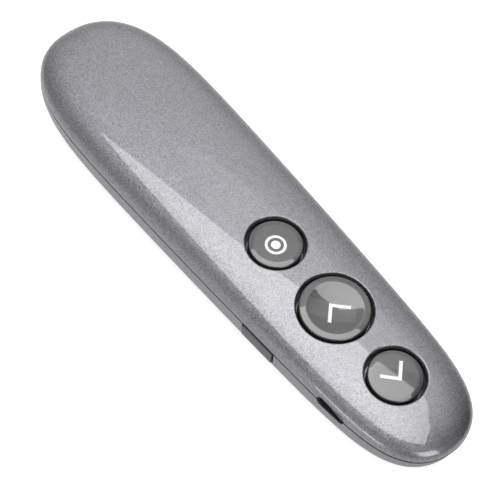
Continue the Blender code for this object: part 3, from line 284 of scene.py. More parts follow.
def round_edges(obj: bpy.types.Object, width: float, segments: int = 3,
                angle: float = REST_ANGLE) -> bpy.types.Object:
    """Round a piece's sharp edges with a bevel.

    Args:
        obj: The piece.
        width: Width of the bevel.
        segments: Faces across it.
        angle: Edges sharper than this are rounded.

    Returns:
        The piece.
    """
    modifier = obj.modifiers.new("rounded_edges", "BEVEL")
    modifier.width = width
    modifier.segments = segments
    modifier.limit_method = "ANGLE"
    modifier.angle_limit = angle
    return apply_all(obj)


def round_along(obj: bpy.types.Object, axis: int, width: float, segments: int) -> None:
    """Round only the edges of a block that run along one axis.

    Args:
        obj: The block.
        axis: 0 for X, 1 for Y and 2 for Z.
        width: Width of the bevel.
        segments: Faces across it.
    """
    edit(obj, "EDGE")
    bm = bmesh.from_edit_mesh(obj.data)
    for edge in bm.edges:
        run = edge.verts[1].co - edge.verts[0].co
        edge.select_set(abs(run[axis]) > WELD_DISTANCE)
    bmesh.update_edit_mesh(obj.data)
    bpy.ops.mesh.bevel(offset=width, segments=segments, affect="EDGES")
    leave_edit()


def smooth(obj: bpy.types.Object, angle: float = REST_ANGLE) -> bpy.types.Object:
    """Shade a piece smooth except at its sharp edges.

    Args:
        obj: The piece.
        angle: Edges sharper than this stay sharp.

    Returns:
        The piece.
    """
    pick(obj)
    bpy.ops.object.shade_smooth_by_angle(angle=angle)
    return obj


def duplicate(obj: bpy.types.Object, name: str) -> bpy.types.Object:
    """Copy a finished piece with its own mesh.

    Args:
        obj: The piece.
        name: Name of the copy.

    Returns:
        The copy.
    """
    copy = bpy.data.objects.new(name, obj.data.copy())
    bpy.context.scene.collection.objects.link(copy)
    return copy


def join_pieces(pieces: list[bpy.types.Object]) -> bpy.types.Object:
    """Join several meshes into the first of them.

    Args:
        pieces: The pieces to join.

    Returns:
        The first piece, now with all of them.
    """
    deselect()
    for piece in pieces:
        piece.select_set(True)
    bpy.context.view_layer.objects.active = pieces[0]
    bpy.ops.object.join()
    return smooth(pieces[0])


def merged_copy(node: str, name: str) -> bpy.types.Object:
    """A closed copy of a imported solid, for building a finer piece from.

    Args:
        node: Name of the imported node.
        name: Name of the copy.

    Returns:
        The copy, with its loose triangles merged.
    """
    obj = duplicate(frame["nodes"][node], name)
    obj.data.materials.clear()
    edit(obj, action="SELECT")
    bpy.ops.mesh.remove_doubles(threshold=WELD_DISTANCE / 2)
    leave_edit()
    return obj


def read(items: bpy.types.bpy_prop_collection, key: str, width: int = 1,
         kind: type = float) -> np.ndarray:
    """One value of every item of a mesh's collection.

    Args:
        items: The vertices, corners or faces.
        key: The value's name.
        width: How many numbers it has.
        kind: Their type.

    Returns:
        The numbers, in rows where the value has more than one.
    """
    values = np.empty(len(items) * width, dtype=kind)
    items.foreach_get(key, values)
    return values.reshape(-1, width) if width > 1 else values


# The body's outside form


@dataclass(frozen=True)
class BodyForm:
    """The long rounded form given by a width, a crown and a belly curve along the body."""

    inset: float = 0.0
    length: float = 0.1400
    half_width: float = 0.01738
    crown: float = 0.00635
    belly: float = 0.01050
    base_flat: float = 0.00035
    width_curve: Pair = (0.141, -0.0514)
    crown_curve: Pair = (0.107, -0.176)
    nose_end: Pair = (6.22, 2.11)
    tail_end: Pair = (9.0, 2.22)
    crown_end: Pair = (9.0, 2.63)
    belly_end: Pair = (4.0, 2.28)
    crown_power: float = 2.91
    belly_power: float = 3.35
    least_share: float = 1e-12
    farthest: float = 60.0

    @property
    def parting_z(self) -> float:
        """Height of the parting plane."""
        return self.belly - self.base_flat

    @property
    def reach(self) -> float:
        """Half the length of the form."""
        return self.length / 2 - self.inset

    def _shares(self, y: np.ndarray, end: tuple) -> tuple[np.ndarray, np.ndarray]:
        """Share of the full size left near an end, and its slope over its own value.

        Args:
            y: Places along the body.
            end: Power and root of the end, as numbers or arrays.

        Returns:
            The share and the relative slope per metre.
        """
        power, root = end
        s = np.clip(y / self.reach, -1.0, 1.0)
        left = np.maximum(1.0 - np.abs(s) ** power, self.least_share)
        slope = -np.sign(s) * power / root * np.abs(s) ** (power - 1.0) / left / self.reach
        return left ** (1.0 / root), slope

    def _bowed(self, y: np.ndarray, size: float, curve: Pair) -> tuple[np.ndarray, np.ndarray]:
        """A size that tapers and bows along the body.

        Args:
            y: Places along the body.
            size: The size at the middle.
            curve: How much it tapers and how much it bows.

        Returns:
            The size less the inset, and its slope over its own value.
        """
        s = np.clip(y / self.reach, -1.0, 1.0)
        taper, bow = curve
        full = size * (1.0 + taper * s + bow * s * s) - self.inset
        return full, size * (taper + 2.0 * bow * s) / self.reach / full

    def width_at(self, y: np.ndarray) -> tuple[np.ndarray, np.ndarray]:
        """Half width at the parting plane, and its relative slope.

        Args:
            y: Places along the body.

        Returns:
            The half widths and the slopes.
        """
        full, rate = self._bowed(y, self.half_width, self.width_curve)
        power, root = (np.where(y > 0.0, nose, tail) for nose, tail in zip(self.nose_end, self.tail_end))
        share, slope = self._shares(y, (power, root))
        return full * share, rate + slope

    def height_at(self, y: np.ndarray, above: np.ndarray) -> tuple[np.ndarray, np.ndarray]:
        """Crown height or belly depth on the centre line, and its relative slope.

        Args:
            y: Places along the body.
            above: Whether each place is above the parting plane.

        Returns:
            The heights and the slopes.
        """
        full, rate = self._bowed(y, self.crown, self.crown_curve)
        share, slope = self._shares(y, self.crown_end)
        deep_share, deep_slope = self._shares(y, self.belly_end)
        height = np.where(above, full * share, (self.belly - self.inset) * deep_share)
        return height, np.where(above, rate + slope, deep_slope)

    def half_width_at(self, y: float) -> float:
        """Half width at the parting plane at one place."""
        return float(self.width_at(np.array([y]))[0][0])

    def half_height_at(self, y: float, above: bool = True) -> float:
        """Crown height, or belly depth, on the centre line at one place."""
        return float(self.height_at(np.array([y]), np.array([above]))[0][0])

    def field(self, points: np.ndarray) -> tuple[np.ndarray, np.ndarray]:
        """How far points are outside the form, and the way out.

        Args:
            points: Points, one in each row.

        Returns:
            Distances in metres, good near the surface, and unit normals.
        """
        x, y = points[:, 0], points[:, 1]
        z = points[:, 2] - self.parting_z
        above = z > 0.0
        width, width_slope = self.width_at(y)
        height, height_slope = self.height_at(y, above)
        power = np.where(above, self.crown_power, self.belly_power)
        across = np.abs(x) / np.maximum(width, TINY)
        upward = np.abs(z) / np.maximum(height, TINY)
        across, upward = np.minimum(across, self.farthest), np.minimum(upward, self.farthest)
        value = across ** power + upward ** power - 1.0
        gradient = np.stack([
            np.sign(x) * across ** (power - 1.0) / np.maximum(width, TINY),
            -(across ** power) * width_slope - upward ** power * height_slope,
            np.sign(z) * upward ** (power - 1.0) / np.maximum(height, TINY)], axis=1)
        gradient *= power[:, None]
        size = np.linalg.norm(gradient, axis=1)
        size = np.where(size > TINY, size, 1.0)
        beyond = np.abs(y) >= self.reach
        value = np.where(beyond, 1.0, value)
        return value / size, gradient / size[:, None]

    def crown_z(self, y: float) -> float:
        """Height of the crown's centre line at a place."""
        return self.parting_z + self.half_height_at(y)

    def side_x(self, y: float, z: float) -> float:
        """Half width of the form at a place and height.

        Args:
            y: Place along the body.
            z: Height from the underside.

        Returns:
            The half width.
        """
        above = z > self.parting_z
        power = self.crown_power if above else self.belly_power
        share = min(1.0, abs(z - self.parting_z) / self.half_height_at(y, above))
        return self.half_width_at(y) * (1.0 - share ** power) ** (1.0 / power)

    def stations(self, rings: int) -> np.ndarray:
        """Places along the body for the rings of a mesh, even along its outline.

        Args:
            rings: Number of faces along the body.

        Returns:
            The places, from the tail to the nose.
        """
        s = np.sin(np.linspace(-math.pi / 2, math.pi / 2, 6001))
        y = s * self.reach
        width = self.width_at(y)[0]
        height = self.height_at(y, np.ones_like(y, bool))[0]
        width[[0, -1]] = height[[0, -1]] = 0.0
        run = np.hypot(np.hypot(np.diff(y), np.diff(width)), np.diff(height))
        run = np.concatenate([[0.0], np.cumsum(run)])
        return np.interp(np.linspace(0.0, run[-1], rings + 1), run, y)

    def column(self, share: np.ndarray, power: float, height: float) -> tuple[np.ndarray, np.ndarray]:
        """Points of a unit section, evenly spread between its side and its top.

        Args:
            share: Way from the side, 0, to the top, 1.
            power: Power of the section.
            height: Height of the section that spreads the points.

        Returns:
            Shares of the half width and of the height.
        """
        angle = np.linspace(0.0, math.pi / 2, 8001)
        x, z = np.cos(angle) ** (2.0 / power), np.sin(angle) ** (2.0 / power)
        run = np.concatenate([[0.0], np.cumsum(np.hypot(np.diff(x) * self.half_width, np.diff(z) * height))])
        at = np.interp(share * run[-1], run, angle)
        return np.cos(at) ** (2.0 / power), np.sin(at) ** (2.0 / power)

    def mesh(self, name: str, sides: int = 96, rings: int = 128) -> bpy.types.Object:
        """The whole form as a closed mesh, shaped from a sphere.

        Args:
            name: Name of the new object.
            sides: Number of faces round the body, a multiple of four.
            rings: Number of faces along it.

        Returns:
            The new object.
        """
        deselect()
        bpy.ops.mesh.primitive_uv_sphere_add(segments=sides, ring_count=rings, radius=1.0)
        obj = named(name)
        co = read(obj.data.vertices, "co", 3)
        ring = np.rint((1.0 - np.arccos(np.clip(co[:, 2], -1.0, 1.0)) / math.pi) * rings).astype(int)
        y = self.stations(rings)[ring]
        turn = np.arctan2(co[:, 1], -co[:, 0])
        rise, side = np.sign(np.round(np.sin(turn), 9)), np.sign(np.round(np.cos(turn), 9))
        share = np.arctan2(np.abs(np.sin(turn)), np.abs(np.cos(turn))) / (math.pi / 2)
        share = np.round(share * sides / 4) / (sides / 4)
        up_x, up_z = self.column(share, self.crown_power, self.crown)
        down_x, down_z = self.column(share, self.belly_power, self.belly)
        above = rise >= 0.0
        width = self.width_at(y)[0]
        height = self.height_at(y, above)[0]
        pole = (ring == 0) | (ring == rings)
        width, height = np.where(pole, 0.0, width), np.where(pole, 0.0, height)
        x = np.where(above, up_x, down_x) * side * width
        z = np.where(above, up_z, down_z) * rise * height
        out = np.stack([x, y, self.parting_z + z], axis=1)
        obj.data.vertices.foreach_set("co", out.ravel())
        obj.data.update()
        edit(obj, action="SELECT")
        bpy.ops.mesh.normals_make_consistent(inside=False)
        leave_edit()
        return obj


FORM = BodyForm()


# Openings sunk into a skin


@dataclass(frozen=True)
class Opening:
    """A round or rounded opening, sunk along its own axis, with a softly rounded lip."""

    centre: Vector
    axis: Vector
    across: Vector
    half_u: float
    half_v: float
    corner: float
    lip: float
    depth: float = 0.0040
    margin: float = 0.00022
    pitch: float = 0.00030
    lip_rings: int = 5
    search: Pair = (-0.0060, 0.0030)
    halvings: int = 44

    @property
    def along(self) -> Vector:
        """Second direction in the opening's plane."""
        return self.axis.cross(self.across).normalized()

    def outline(self) -> tuple[np.ndarray, np.ndarray]:
        """Points of the opening's edge in its plane, and the way out at each.

        Returns:
            The points and the ways, one in each row.
        """
        places, ways = [], []
        core_u, core_v = self.half_u - self.corner, self.half_v - self.corner
        bends = max(4, round(self.corner * math.pi / 2 / self.pitch))
        corners = ((1, 1, 0.0), (-1, 1, 0.5), (-1, -1, 1.0), (1, -1, 1.5))
        for index, (u_side, v_side, start) in enumerate(corners):
            for step in range(bends + 1):
                angle = math.pi * (start + 0.5 * step / bends)
                way = (math.cos(angle), math.sin(angle))
                places.append((u_side * core_u + self.corner * way[0],
                               v_side * core_v + self.corner * way[1]))
                ways.append(way)
            after = corners[(index + 1) % 4]
            gap = math.hypot((after[0] - u_side) * core_u, (after[1] - v_side) * core_v)
            way = (math.cos(math.pi * (start + 0.5)), math.sin(math.pi * (start + 0.5)))
            splits = max(0, round(gap / self.pitch) - 1)
            last = places[-1]
            for step in range(1, splits + 1):
                share = step / (splits + 1)
                places.append((last[0] + (after[0] - u_side) * core_u * share,
                               last[1] + (after[1] - v_side) * core_v * share))
                ways.append(way)
            if gap < TINY:
                places.pop()
                ways.pop()
        return np.array(places), np.array(ways)

    def outside(self, u: np.ndarray, v: np.ndarray) -> np.ndarray:
        """Distance of plane points outside the opening's edge.

        Args:
            u: Their places across.
            v: Their places along.

        Returns:
            The distances, below zero inside.
        """
        du = np.abs(u) - (self.half_u - self.corner)
        dv = np.abs(v) - (self.half_v - self.corner)
        far = np.hypot(np.maximum(du, 0.0), np.maximum(dv, 0.0))
        return far + np.minimum(np.maximum(du, dv), 0.0) - self.corner

    def local(self, points: np.ndarray) -> np.ndarray:
        """Points in the opening's own directions, across, along and out."""
        return (points - np.array(self.centre)) @ np.array([self.across, self.along, self.axis]).T

    def world(self, points: np.ndarray) -> np.ndarray:
        """Points from the opening's own directions back in the body's."""
        return points @ np.array([self.across, self.along, self.axis]) + np.array(self.centre)

    def on_form(self, plane: np.ndarray, form: BodyForm) -> np.ndarray:
        """Plane points carried along the axis onto a form.

        Args:
            plane: Points in the opening's plane.
            form: The form that they land on.

        Returns:
            Points of the form in the body's directions.
        """
        inner, outer = (np.full(len(plane), end) for end in self.search)
        for _ in range(self.halvings):
            middle = (inner + outer) / 2
            points = self.world(np.column_stack([plane, middle]))
            out = form.field(points)[0] > 0.0
            outer, inner = np.where(out, middle, outer), np.where(out, inner, middle)
        return self.world(np.column_stack([plane, (inner + outer) / 2]))


class Skin:
    """A fine closed skin on the body's form, into which openings are sunk."""

    near: float = 0.0050
    least_facing: float = 0.05
    pole_depth: float = 0.00001
    lip_clearance: float = 1.5
    lip_rounds: int = 6

    def __init__(self, name: str, form: BodyForm, sides: int = 144, rings: int = 256) -> None:
        """Make the whole form as one closed mesh."""
        self.form = form
        self.obj = form.mesh(name, sides, rings)

    def sink(self, opening: Opening) -> None:
        """Sink one opening as a blind pocket with a rounded lip.

        Args:
            opening: The opening to sink.
        """
        bm = bmesh.new()
        bm.from_mesh(self.obj.data)
        co = np.array([vert.co[:] for vert in bm.verts])
        local = opening.local(co)
        outside = opening.outside(local[:, 0], local[:, 1])
        facing = self.form.field(co)[1] @ np.array(opening.axis)
        near = np.abs(local[:, 2]) < self.near
        reach = opening.lip * self.lip_clearance + opening.margin
        inside = (outside < reach) & near & (facing > self.least_facing)
        pole = np.abs(co[:, 1]) > self.form.reach - self.pole_depth
        inside |= pole & (outside < 0.0) & near
        gone = [vert for vert, out in zip(bm.verts, inside) if out]
        bmesh.ops.delete(bm, geom=gone, context="VERTS")

        rings = self._rings(opening)
        edge = self._boundary(bm, opening, rings[0])
        loops = [[bm.verts.new(point) for point in ring] for ring in rings]
        self._zip(bm, edge, loops[0], opening)
        for outer, inner in zip(loops, loops[1:]):
            for index in range(len(outer)):
                after = (index + 1) % len(outer)
                bm.faces.new((outer[index], outer[after], inner[after], inner[index]))
        bm.faces.new(loops[-1])
        bmesh.ops.recalc_face_normals(bm, faces=bm.faces)
        if bm.calc_volume(signed=True) < 0.0:
            bmesh.ops.reverse_faces(bm, faces=bm.faces)
        bm.to_mesh(self.obj.data)
        bm.free()

    def _rings(self, opening: Opening) -> list[np.ndarray]:
        """Rings of an opening from the skin over its lip to its floor.

        Args:
            opening: The opening.

        Returns:
            The points of each ring in the body's directions.
        """
        places, ways = opening.outline()
        outward = ways @ np.array([opening.across, opening.along])
        offset = np.full(len(places), opening.lip)
        for _ in range(self.lip_rounds):
            start = opening.on_form(places + ways * offset[:, None], self.form)
            normal = self.form.field(start)[1]
            offset = opening.lip * (1.0 + np.sum(normal * outward, axis=1))
        centre = start - normal * opening.lip
        spread = np.arccos(np.clip(-np.sum(normal * outward, axis=1), -1.0, 1.0))
        rings = []
        for step in range(opening.lip_rings + 1):
            share = step / opening.lip_rings
            first = np.sin((1.0 - share) * spread) / np.sin(spread)
            second = np.sin(share * spread) / np.sin(spread)
            way = normal * first[:, None] - outward * second[:, None]
            rings.append(centre + way * opening.lip)
        last = opening.local(rings[-1])
        for share in (0.5, 1.0):
            row = last.copy()
            row[:, 2] = last[:, 2] + (-opening.depth - last[:, 2]) * share
            rings.append(opening.world(row))
        return rings

    @staticmethod
    def _boundary(bm: bmesh.types.BMesh, opening: Opening,
                  ring: np.ndarray) -> list[bmesh.types.BMVert]:
        """The open edge that a deletion left, as one loop that runs as the ring does.

        Args:
            bm: The skin's mesh.
            opening: The opening.
            ring: Its first ring.

        Returns:
            The edge's points in order.
        """
        edges = [edge for edge in bm.edges if edge.is_boundary]
        links: dict = {}
        for edge in edges:
            for vert, other in ((edge.verts[0], edge.verts[1]), (edge.verts[1], edge.verts[0])):
                links.setdefault(vert, []).append(other)
        first = edges[0].verts[0]
        loop, before, current = [first], None, first
        while True:
            options = [vert for vert in links[current] if vert is not before]
            before, current = current, options[0]
            if current is first:
                break
            loop.append(current)
        plane = opening.local(np.array([vert.co[:] for vert in loop]))[:, :2]
        goal = opening.local(ring)[:, :2]

        def area(points: np.ndarray) -> float:
            """Signed area of a plane loop."""
            after = np.roll(points, -1, axis=0)
            return float(np.sum(points[:, 0] * after[:, 1] - points[:, 1] * after[:, 0]))

        if area(plane) * area(goal) < 0.0:
            loop.reverse()
        return loop

    @staticmethod
    def _zip(bm: bmesh.types.BMesh, edge: list, ring: list, opening: Opening) -> None:
        """Close the band between the open edge and an opening's first ring with triangles.

        Args:
            bm: The skin's mesh.
            edge: Points of the open edge in order.
            ring: Points of the first ring in order.
            opening: The opening.
        """
        outer = opening.local(np.array([vert.co[:] for vert in edge]))[:, :2]
        inner = opening.local(np.array([vert.co[:] for vert in ring]))[:, :2]
        count = len(ring)
        nearest = np.argmin(np.linalg.norm(outer[:, None] - inner[None], axis=2), axis=1)
        steps = np.diff(np.concatenate([nearest, nearest[:1]]))
        steps = (steps + count // 2) % count - count // 2
        place = np.concatenate([[0], np.cumsum(steps)])
        place = np.maximum.accumulate(place)
        place = np.minimum(place, count)
        start = int(nearest[0])
        i, j = 0, 0
        while i < len(edge) or j < count:
            take_edge = j >= count or (i < len(edge) and place[min(i + 1, len(edge))] <= j + 0.5)
            a, b = edge[i % len(edge)], ring[(start + j) % count]
            if take_edge:
                bm.faces.new((a, b, edge[(i + 1) % len(edge)]))
                i += 1
            else:
                bm.faces.new((a, b, ring[(start + j + 1) % count]))
                j += 1


def slice_flat(obj: bpy.types.Object, level: float, keep_above: bool) -> None:
    """Cut a closed piece flat at a height and close the cut.

    Args:
        obj: The piece.
        level: Height of the cut.
        keep_above: Whether the part above the cut is kept.
    """
    edit(obj, action="SELECT")
    bpy.ops.mesh.bisect(
        plane_co=(0.0, 0.0, level), plane_no=UP, use_fill=True,
        clear_inner=keep_above, clear_outer=not keep_above, threshold=WELD_DISTANCE / 4)
    leave_edit()


def lay_true_normals(obj: bpy.types.Object, form: BodyForm, near: float = 0.000006,
                     least_facing: float = 0.80, level_facing: float = 0.99999) -> None:
    """Give the corners that lie on the form the form's own normals, so that the skin shines evenly.

    Faces that look straight down, as the flat base does, keep their own.

    Args:
        obj: The finished piece.
        form: The form that its outside follows.
        near: How close to the form a point must lie.
        least_facing: How well a face must agree with the form, as a cosine.
        level_facing: How squarely a face that keeps its own looks down, as a cosine.
    """
    smooth(obj)
    mesh = obj.data
    distance, true = form.field(read(mesh.vertices, "co", 3))
    flat = np.array([corner.vector[:] for corner in mesh.corner_normals])
    vert_of = read(mesh.loops, "vertex_index", kind=np.int32)
    totals = read(mesh.polygons, "loop_total", kind=np.int32)
    facing = np.repeat(read(mesh.polygons, "normal", 3), totals, axis=0)
    agreeing = np.sum(facing * true[vert_of], axis=1) > least_facing
    on_form = (np.abs(distance[vert_of]) < near) & agreeing
    normals = np.where(on_form[:, None], true[vert_of], flat)
    level = facing[:, 2] < -level_facing
    normals[level] = facing[level]
    mesh.normals_split_custom_set([tuple(normal) for normal in normals])


# Finishes


class Tree:
    """One node tree under work."""

    def __init__(self, tree: bpy.types.NodeTree) -> None:
        """Start with an empty tree."""
        self.tree = tree
        tree.nodes.clear()

    def add(self, kind: str, inputs: dict | None = None, **settings: object) -> bpy.types.Node:
        """Add a node.

        Args:
            kind: Node type without the ShaderNode prefix.
            inputs: A socket or a plain value for inputs, by name or number.
            settings: Attributes to set on it first.

        Returns:
            The node.
        """
        prefix = "" if kind.startswith("NodeGroup") else "ShaderNode"
        node = self.tree.nodes.new(prefix + kind)
        for key, value in settings.items():
            setattr(node, key, value)
        for key, value in (inputs or {}).items():
            if isinstance(value, bpy.types.NodeSocket):
                self.tree.links.new(value, node.inputs[key])
            else:
                node.inputs[key].default_value = value
        return node

    def maths(self, operation: str, *values: object, clamp: bool = False) -> bpy.types.NodeSocket:
        """Add a Math node.

        Args:
            operation: What it does.
            values: Sockets or numbers.
            clamp: Whether the result stays between 0 and 1.

        Returns:
            Its output.
        """
        return self.add("Math", dict(enumerate(values)), operation=operation, use_clamp=clamp).outputs[0]

    def weigh(self, first: bpy.types.NodeSocket, first_share: float, second: bpy.types.NodeSocket,
              second_share: float) -> bpy.types.NodeSocket:
        """Add two values by their shares."""
        return self.maths("ADD", self.maths("MULTIPLY", first, first_share),
                          self.maths("MULTIPLY", second, second_share))

    def vector(self, operation: str, inputs: dict) -> bpy.types.NodeSocket:
        """Add a Vector Math node and return its output."""
        node = self.add("VectorMath", inputs, operation=operation)
        return node.outputs["Value" if operation == "DOT_PRODUCT" else "Vector"]

    def remap(self, value: bpy.types.NodeSocket, low: float, high: float, to_low: float = 0.0,
              to_high: float = 1.0, soft: bool = False) -> bpy.types.NodeSocket:
        """Carry a value from one range to another.

        Args:
            value: The value.
            low: Start of its range.
            high: End of its range.
            to_low: Start of the new range.
            to_high: End of the new range.
            soft: Whether the ends ease in and out.

        Returns:
            The new value, which stays inside the new range.
        """
        ranges = {"Value": value, "From Min": low, "From Max": high, "To Min": to_low, "To Max": to_high}
        kind = "SMOOTHSTEP" if soft else "LINEAR"
        return self.add("MapRange", ranges, interpolation_type=kind).outputs["Result"]

    def blend(self, share: bpy.types.NodeSocket, first: Triple, second: Triple) -> bpy.types.NodeSocket:
        """Mix two colours by a share, 0 for the first and 1 for the second."""
        inputs = {0: share, 6: (*first, 1.0), 7: (*second, 1.0)}
        return self.add("Mix", inputs, data_type="RGBA").outputs[2]

    def noise(self, vector: bpy.types.NodeSocket, scale: float, detail: float = 2.0,
              roughness: float = 0.5) -> bpy.types.NodeSocket:
        """A Noise texture's value."""
        inputs = {"Vector": vector, "Scale": scale, "Detail": detail, "Roughness": roughness}
        return self.add("TexNoise", inputs).outputs[0]

    def cells(self, vector: bpy.types.NodeSocket, output: str, scale: float = 1.0,
              feature: str = "F1") -> bpy.types.NodeSocket:
        """One output of a Voronoi texture."""
        return self.add("TexVoronoi", {"Vector": vector, "Scale": scale}, feature=feature).outputs[output]


class Effect(Enum):
    """The shared surface effects, each a node group."""

    FLAKES = "metal_flakes"
    GRAIN = "moulded_grain"
    BRUSHED = "brushed_lines"
    TURNED = "turned_rings"
    CELLS = "foam_cells"
    TRACES = "copper_traces"
    CRINKLE = "foil_crinkle"
    HAZE = "handling_haze"


class EffectBook:
    """Builds each effect's node group once, when it is first asked for."""

    flake_tilt: float = 0.10

    def __init__(self) -> None:
        """Start with no group built."""
        self.groups: dict[Effect, bpy.types.NodeTree] = {}

    def get(self, effect: Effect) -> bpy.types.NodeTree:
        """The node group of an effect, with a scaled vector in and a shade, a height and a normal out.

        Args:
            effect: The effect.

        Returns:
            Its node group.
        """
        if effect not in self.groups:
            group = bpy.data.node_groups.new(effect.value, "ShaderNodeTree")
            for name, way, kind in (
                    ("Vector", "INPUT", "Vector"), ("Scale", "INPUT", "Float"), ("Shade", "OUTPUT", "Float"),
                    ("Height", "OUTPUT", "Float"), ("Normal", "OUTPUT", "Vector")):
                group.interface.new_socket(name=name, in_out=way, socket_type="NodeSocket" + kind)
            tree = Tree(group)
            start = tree.add("NodeGroupInput").outputs
            scaled = tree.vector("SCALE", {0: start["Vector"], "Scale": start["Scale"]})
            results = getattr(self, "_" + effect.name.lower())(tree, scaled)
            made = zip(("Shade", "Height", "Normal"), results)
            tree.add("NodeGroupOutput", {key: value for key, value in made if value is not None})
            self.groups[effect] = group
        return self.groups[effect]

    @staticmethod
    def _flakes(tree: Tree, vector: bpy.types.NodeSocket) -> tuple:
        """Small flat flakes, each turned its own way and a little lighter or darker.

        Args:
            tree: The group's tree.
            vector: The scaled vector.

        Returns:
            The shade, the height and the normal, None where the effect leaves one out.
        """
        colour = tree.cells(vector, "Color")
        away = tree.vector("SUBTRACT", {0: colour, 1: (0.5, 0.5, 0.5)})
        tilt = tree.vector("SCALE", {0: away, "Scale": EffectBook.flake_tilt})
        total = tree.vector("ADD", {0: tilt, 1: tree.add("NewGeometry").outputs["Normal"]})
        parts = tree.add("SeparateColor", {0: colour}).outputs
        cloud = tree.maths("MULTIPLY", tree.noise(vector, 0.35), 0.25)
        shade = tree.maths("MULTIPLY_ADD", parts[0], 0.75, cloud)
        return shade, parts[1], tree.vector("NORMALIZE", {0: total})

    @staticmethod
    def _grain(tree: Tree, vector: bpy.types.NodeSocket) -> tuple:
        """Fine moulded texture."""
        fine = tree.noise(vector, 1.0, 3.0, 0.6)
        return tree.weigh(fine, 0.5, tree.noise(vector, 0.06), 0.5), fine, None

    @staticmethod
    def _brushed(tree: Tree, vector: bpy.types.NodeSocket) -> tuple:
        """Fine lines along Y left by rolling or brushing.

        Args:
            tree: The group's tree.
            vector: The scaled vector.

        Returns:
            The shade, the height and the normal, None where the effect leaves one out.
        """
        stretched = tree.add("Mapping", {"Vector": vector, "Scale": (1.0, 0.05, 1.0)}).outputs[0]
        lines = tree.noise(stretched, 1.0, 4.0, 0.65)
        return tree.weigh(lines, 0.7, tree.noise(vector, 0.08, 1.0), 0.3), lines, None

    @staticmethod
    def _turned(tree: Tree, vector: bpy.types.NodeSocket) -> tuple:
        """Rings left by turning, spaced along Y.

        Args:
            tree: The group's tree.
            vector: The scaled vector.

        Returns:
            The shade, the height and the normal, None where the effect leaves one out.
        """
        inputs = {"Vector": vector, "Scale": 1.0, "Distortion": 0.3, "Detail": 1.0}
        rings = tree.add("TexWave", inputs, wave_type="BANDS", bands_direction="Y").outputs[1]
        return tree.weigh(rings, 0.5, tree.noise(vector, 0.3), 0.5), rings, None

    @staticmethod
    def _cells(tree: Tree, vector: bpy.types.NodeSocket) -> tuple:
        """Open foam cells."""
        shade = tree.remap(tree.cells(vector, "Distance"), 0.1, 0.7)
        return shade, shade, None

    @staticmethod
    def _traces(tree: Tree, vector: bpy.types.NodeSocket) -> tuple:
        """Copper traces and pads that show through solder mask.

        Args:
            tree: The group's tree.
            vector: The scaled vector.

        Returns:
            The shade, the height and the normal, None where the effect leaves one out.
        """
        bricks = tree.add("TexBrick", {
            "Vector": vector, "Color1": (0.0, 0.0, 0.0, 1.0), "Color2": (0.25, 0.25, 0.25, 1.0),
            "Mortar": WHITE, "Scale": 1.0, "Mortar Size": 0.06, "Mortar Smooth": 0.1,
            "Brick Width": 1.9, "Row Height": 0.5}, offset=0.37, squash=1.6, squash_frequency=3)
        lines = tree.add("RGBToBW", {0: bricks.outputs["Color"]}).outputs[0]
        pads = tree.remap(tree.cells(vector, "Distance", 0.8), 0.13, 0.10)
        shade = tree.maths("MAXIMUM", lines, pads, clamp=True)
        return shade, shade, None

    @staticmethod
    def _crinkle(tree: Tree, vector: bpy.types.NodeSocket) -> tuple:
        """Soft creases of laminated foil.

        Args:
            tree: The group's tree.
            vector: The scaled vector.

        Returns:
            The shade, the height and the normal, None where the effect leaves one out.
        """
        folds = tree.cells(vector, "Distance", feature="SMOOTH_F1")
        fine = tree.noise(vector, 4.0, 3.0)
        return fine, tree.maths("ADD", folds, tree.maths("MULTIPLY", fine, 0.2)), None

    @staticmethod
    def _haze(tree: Tree, vector: bpy.types.NodeSocket) -> tuple:
        """Broad soft patches where fingers and cloth have passed."""
        shade = tree.remap(tree.noise(vector, 1.0, 3.0, 0.55), 0.35, 0.70, soft=True)
        return shade, shade, None


EFFECTS = EffectBook()


@dataclass(frozen=True)
class Finish:
    """One finish: its colours, its shine and the effect that gives its surface its detail."""

    slot: str
    effect: Effect
    colour: Triple
    accent: Triple
    size: float
    roughness: Pair
    depth: float = 0.0
    metallic: float = 0.0
    coat: float = 0.0
    coat_roughness: float = 0.04
    coat_ior: float = 1.5
    transmission: float = 0.0
    ior: float = 1.5
    haze_size: float = 0.0090

    def build(self) -> bpy.types.Material:
        """Build the finish as a material on Object coordinates.

        Returns:
            The material.
        """
        material = bpy.data.materials.new(self.slot + "_finish")
        material.use_nodes = True
        material.diffuse_color = (*self.colour, 1.0)
        tree = Tree(material.node_tree)
        place = tree.add("TexCoord").outputs["Object"]
        effect, haze = (
            tree.add("Group", {"Vector": place, "Scale": 1.0 / size}, node_tree=EFFECTS.get(kind)).outputs
            for kind, size in ((self.effect, self.size), (Effect.HAZE, self.haze_size)))
        share = tree.remap(effect["Shade"], 0.0, 1.0)
        worn = tree.weigh(share, 0.5, haze["Shade"], 0.5)
        looks = {
            "Base Color": tree.blend(share, self.colour, self.accent),
            "Roughness": tree.remap(worn, 0.0, 1.0, *self.roughness),
            "Metallic": self.metallic, "Coat Weight": self.coat, "Coat Roughness": self.coat_roughness,
            "Coat IOR": self.coat_ior, "Transmission Weight": self.transmission, "IOR": self.ior}
        if self.effect is Effect.FLAKES:
            looks["Normal"] = effect["Normal"]
        elif self.depth > 0.0:
            bump = {"Strength": 1.0, "Distance": self.depth, "Height": effect["Height"]}
            looks["Normal"] = tree.add("Bump", bump).outputs[0]
        tree.add("OutputMaterial", {"Surface": tree.add("BsdfPrincipled", looks).outputs[0]})
        return material


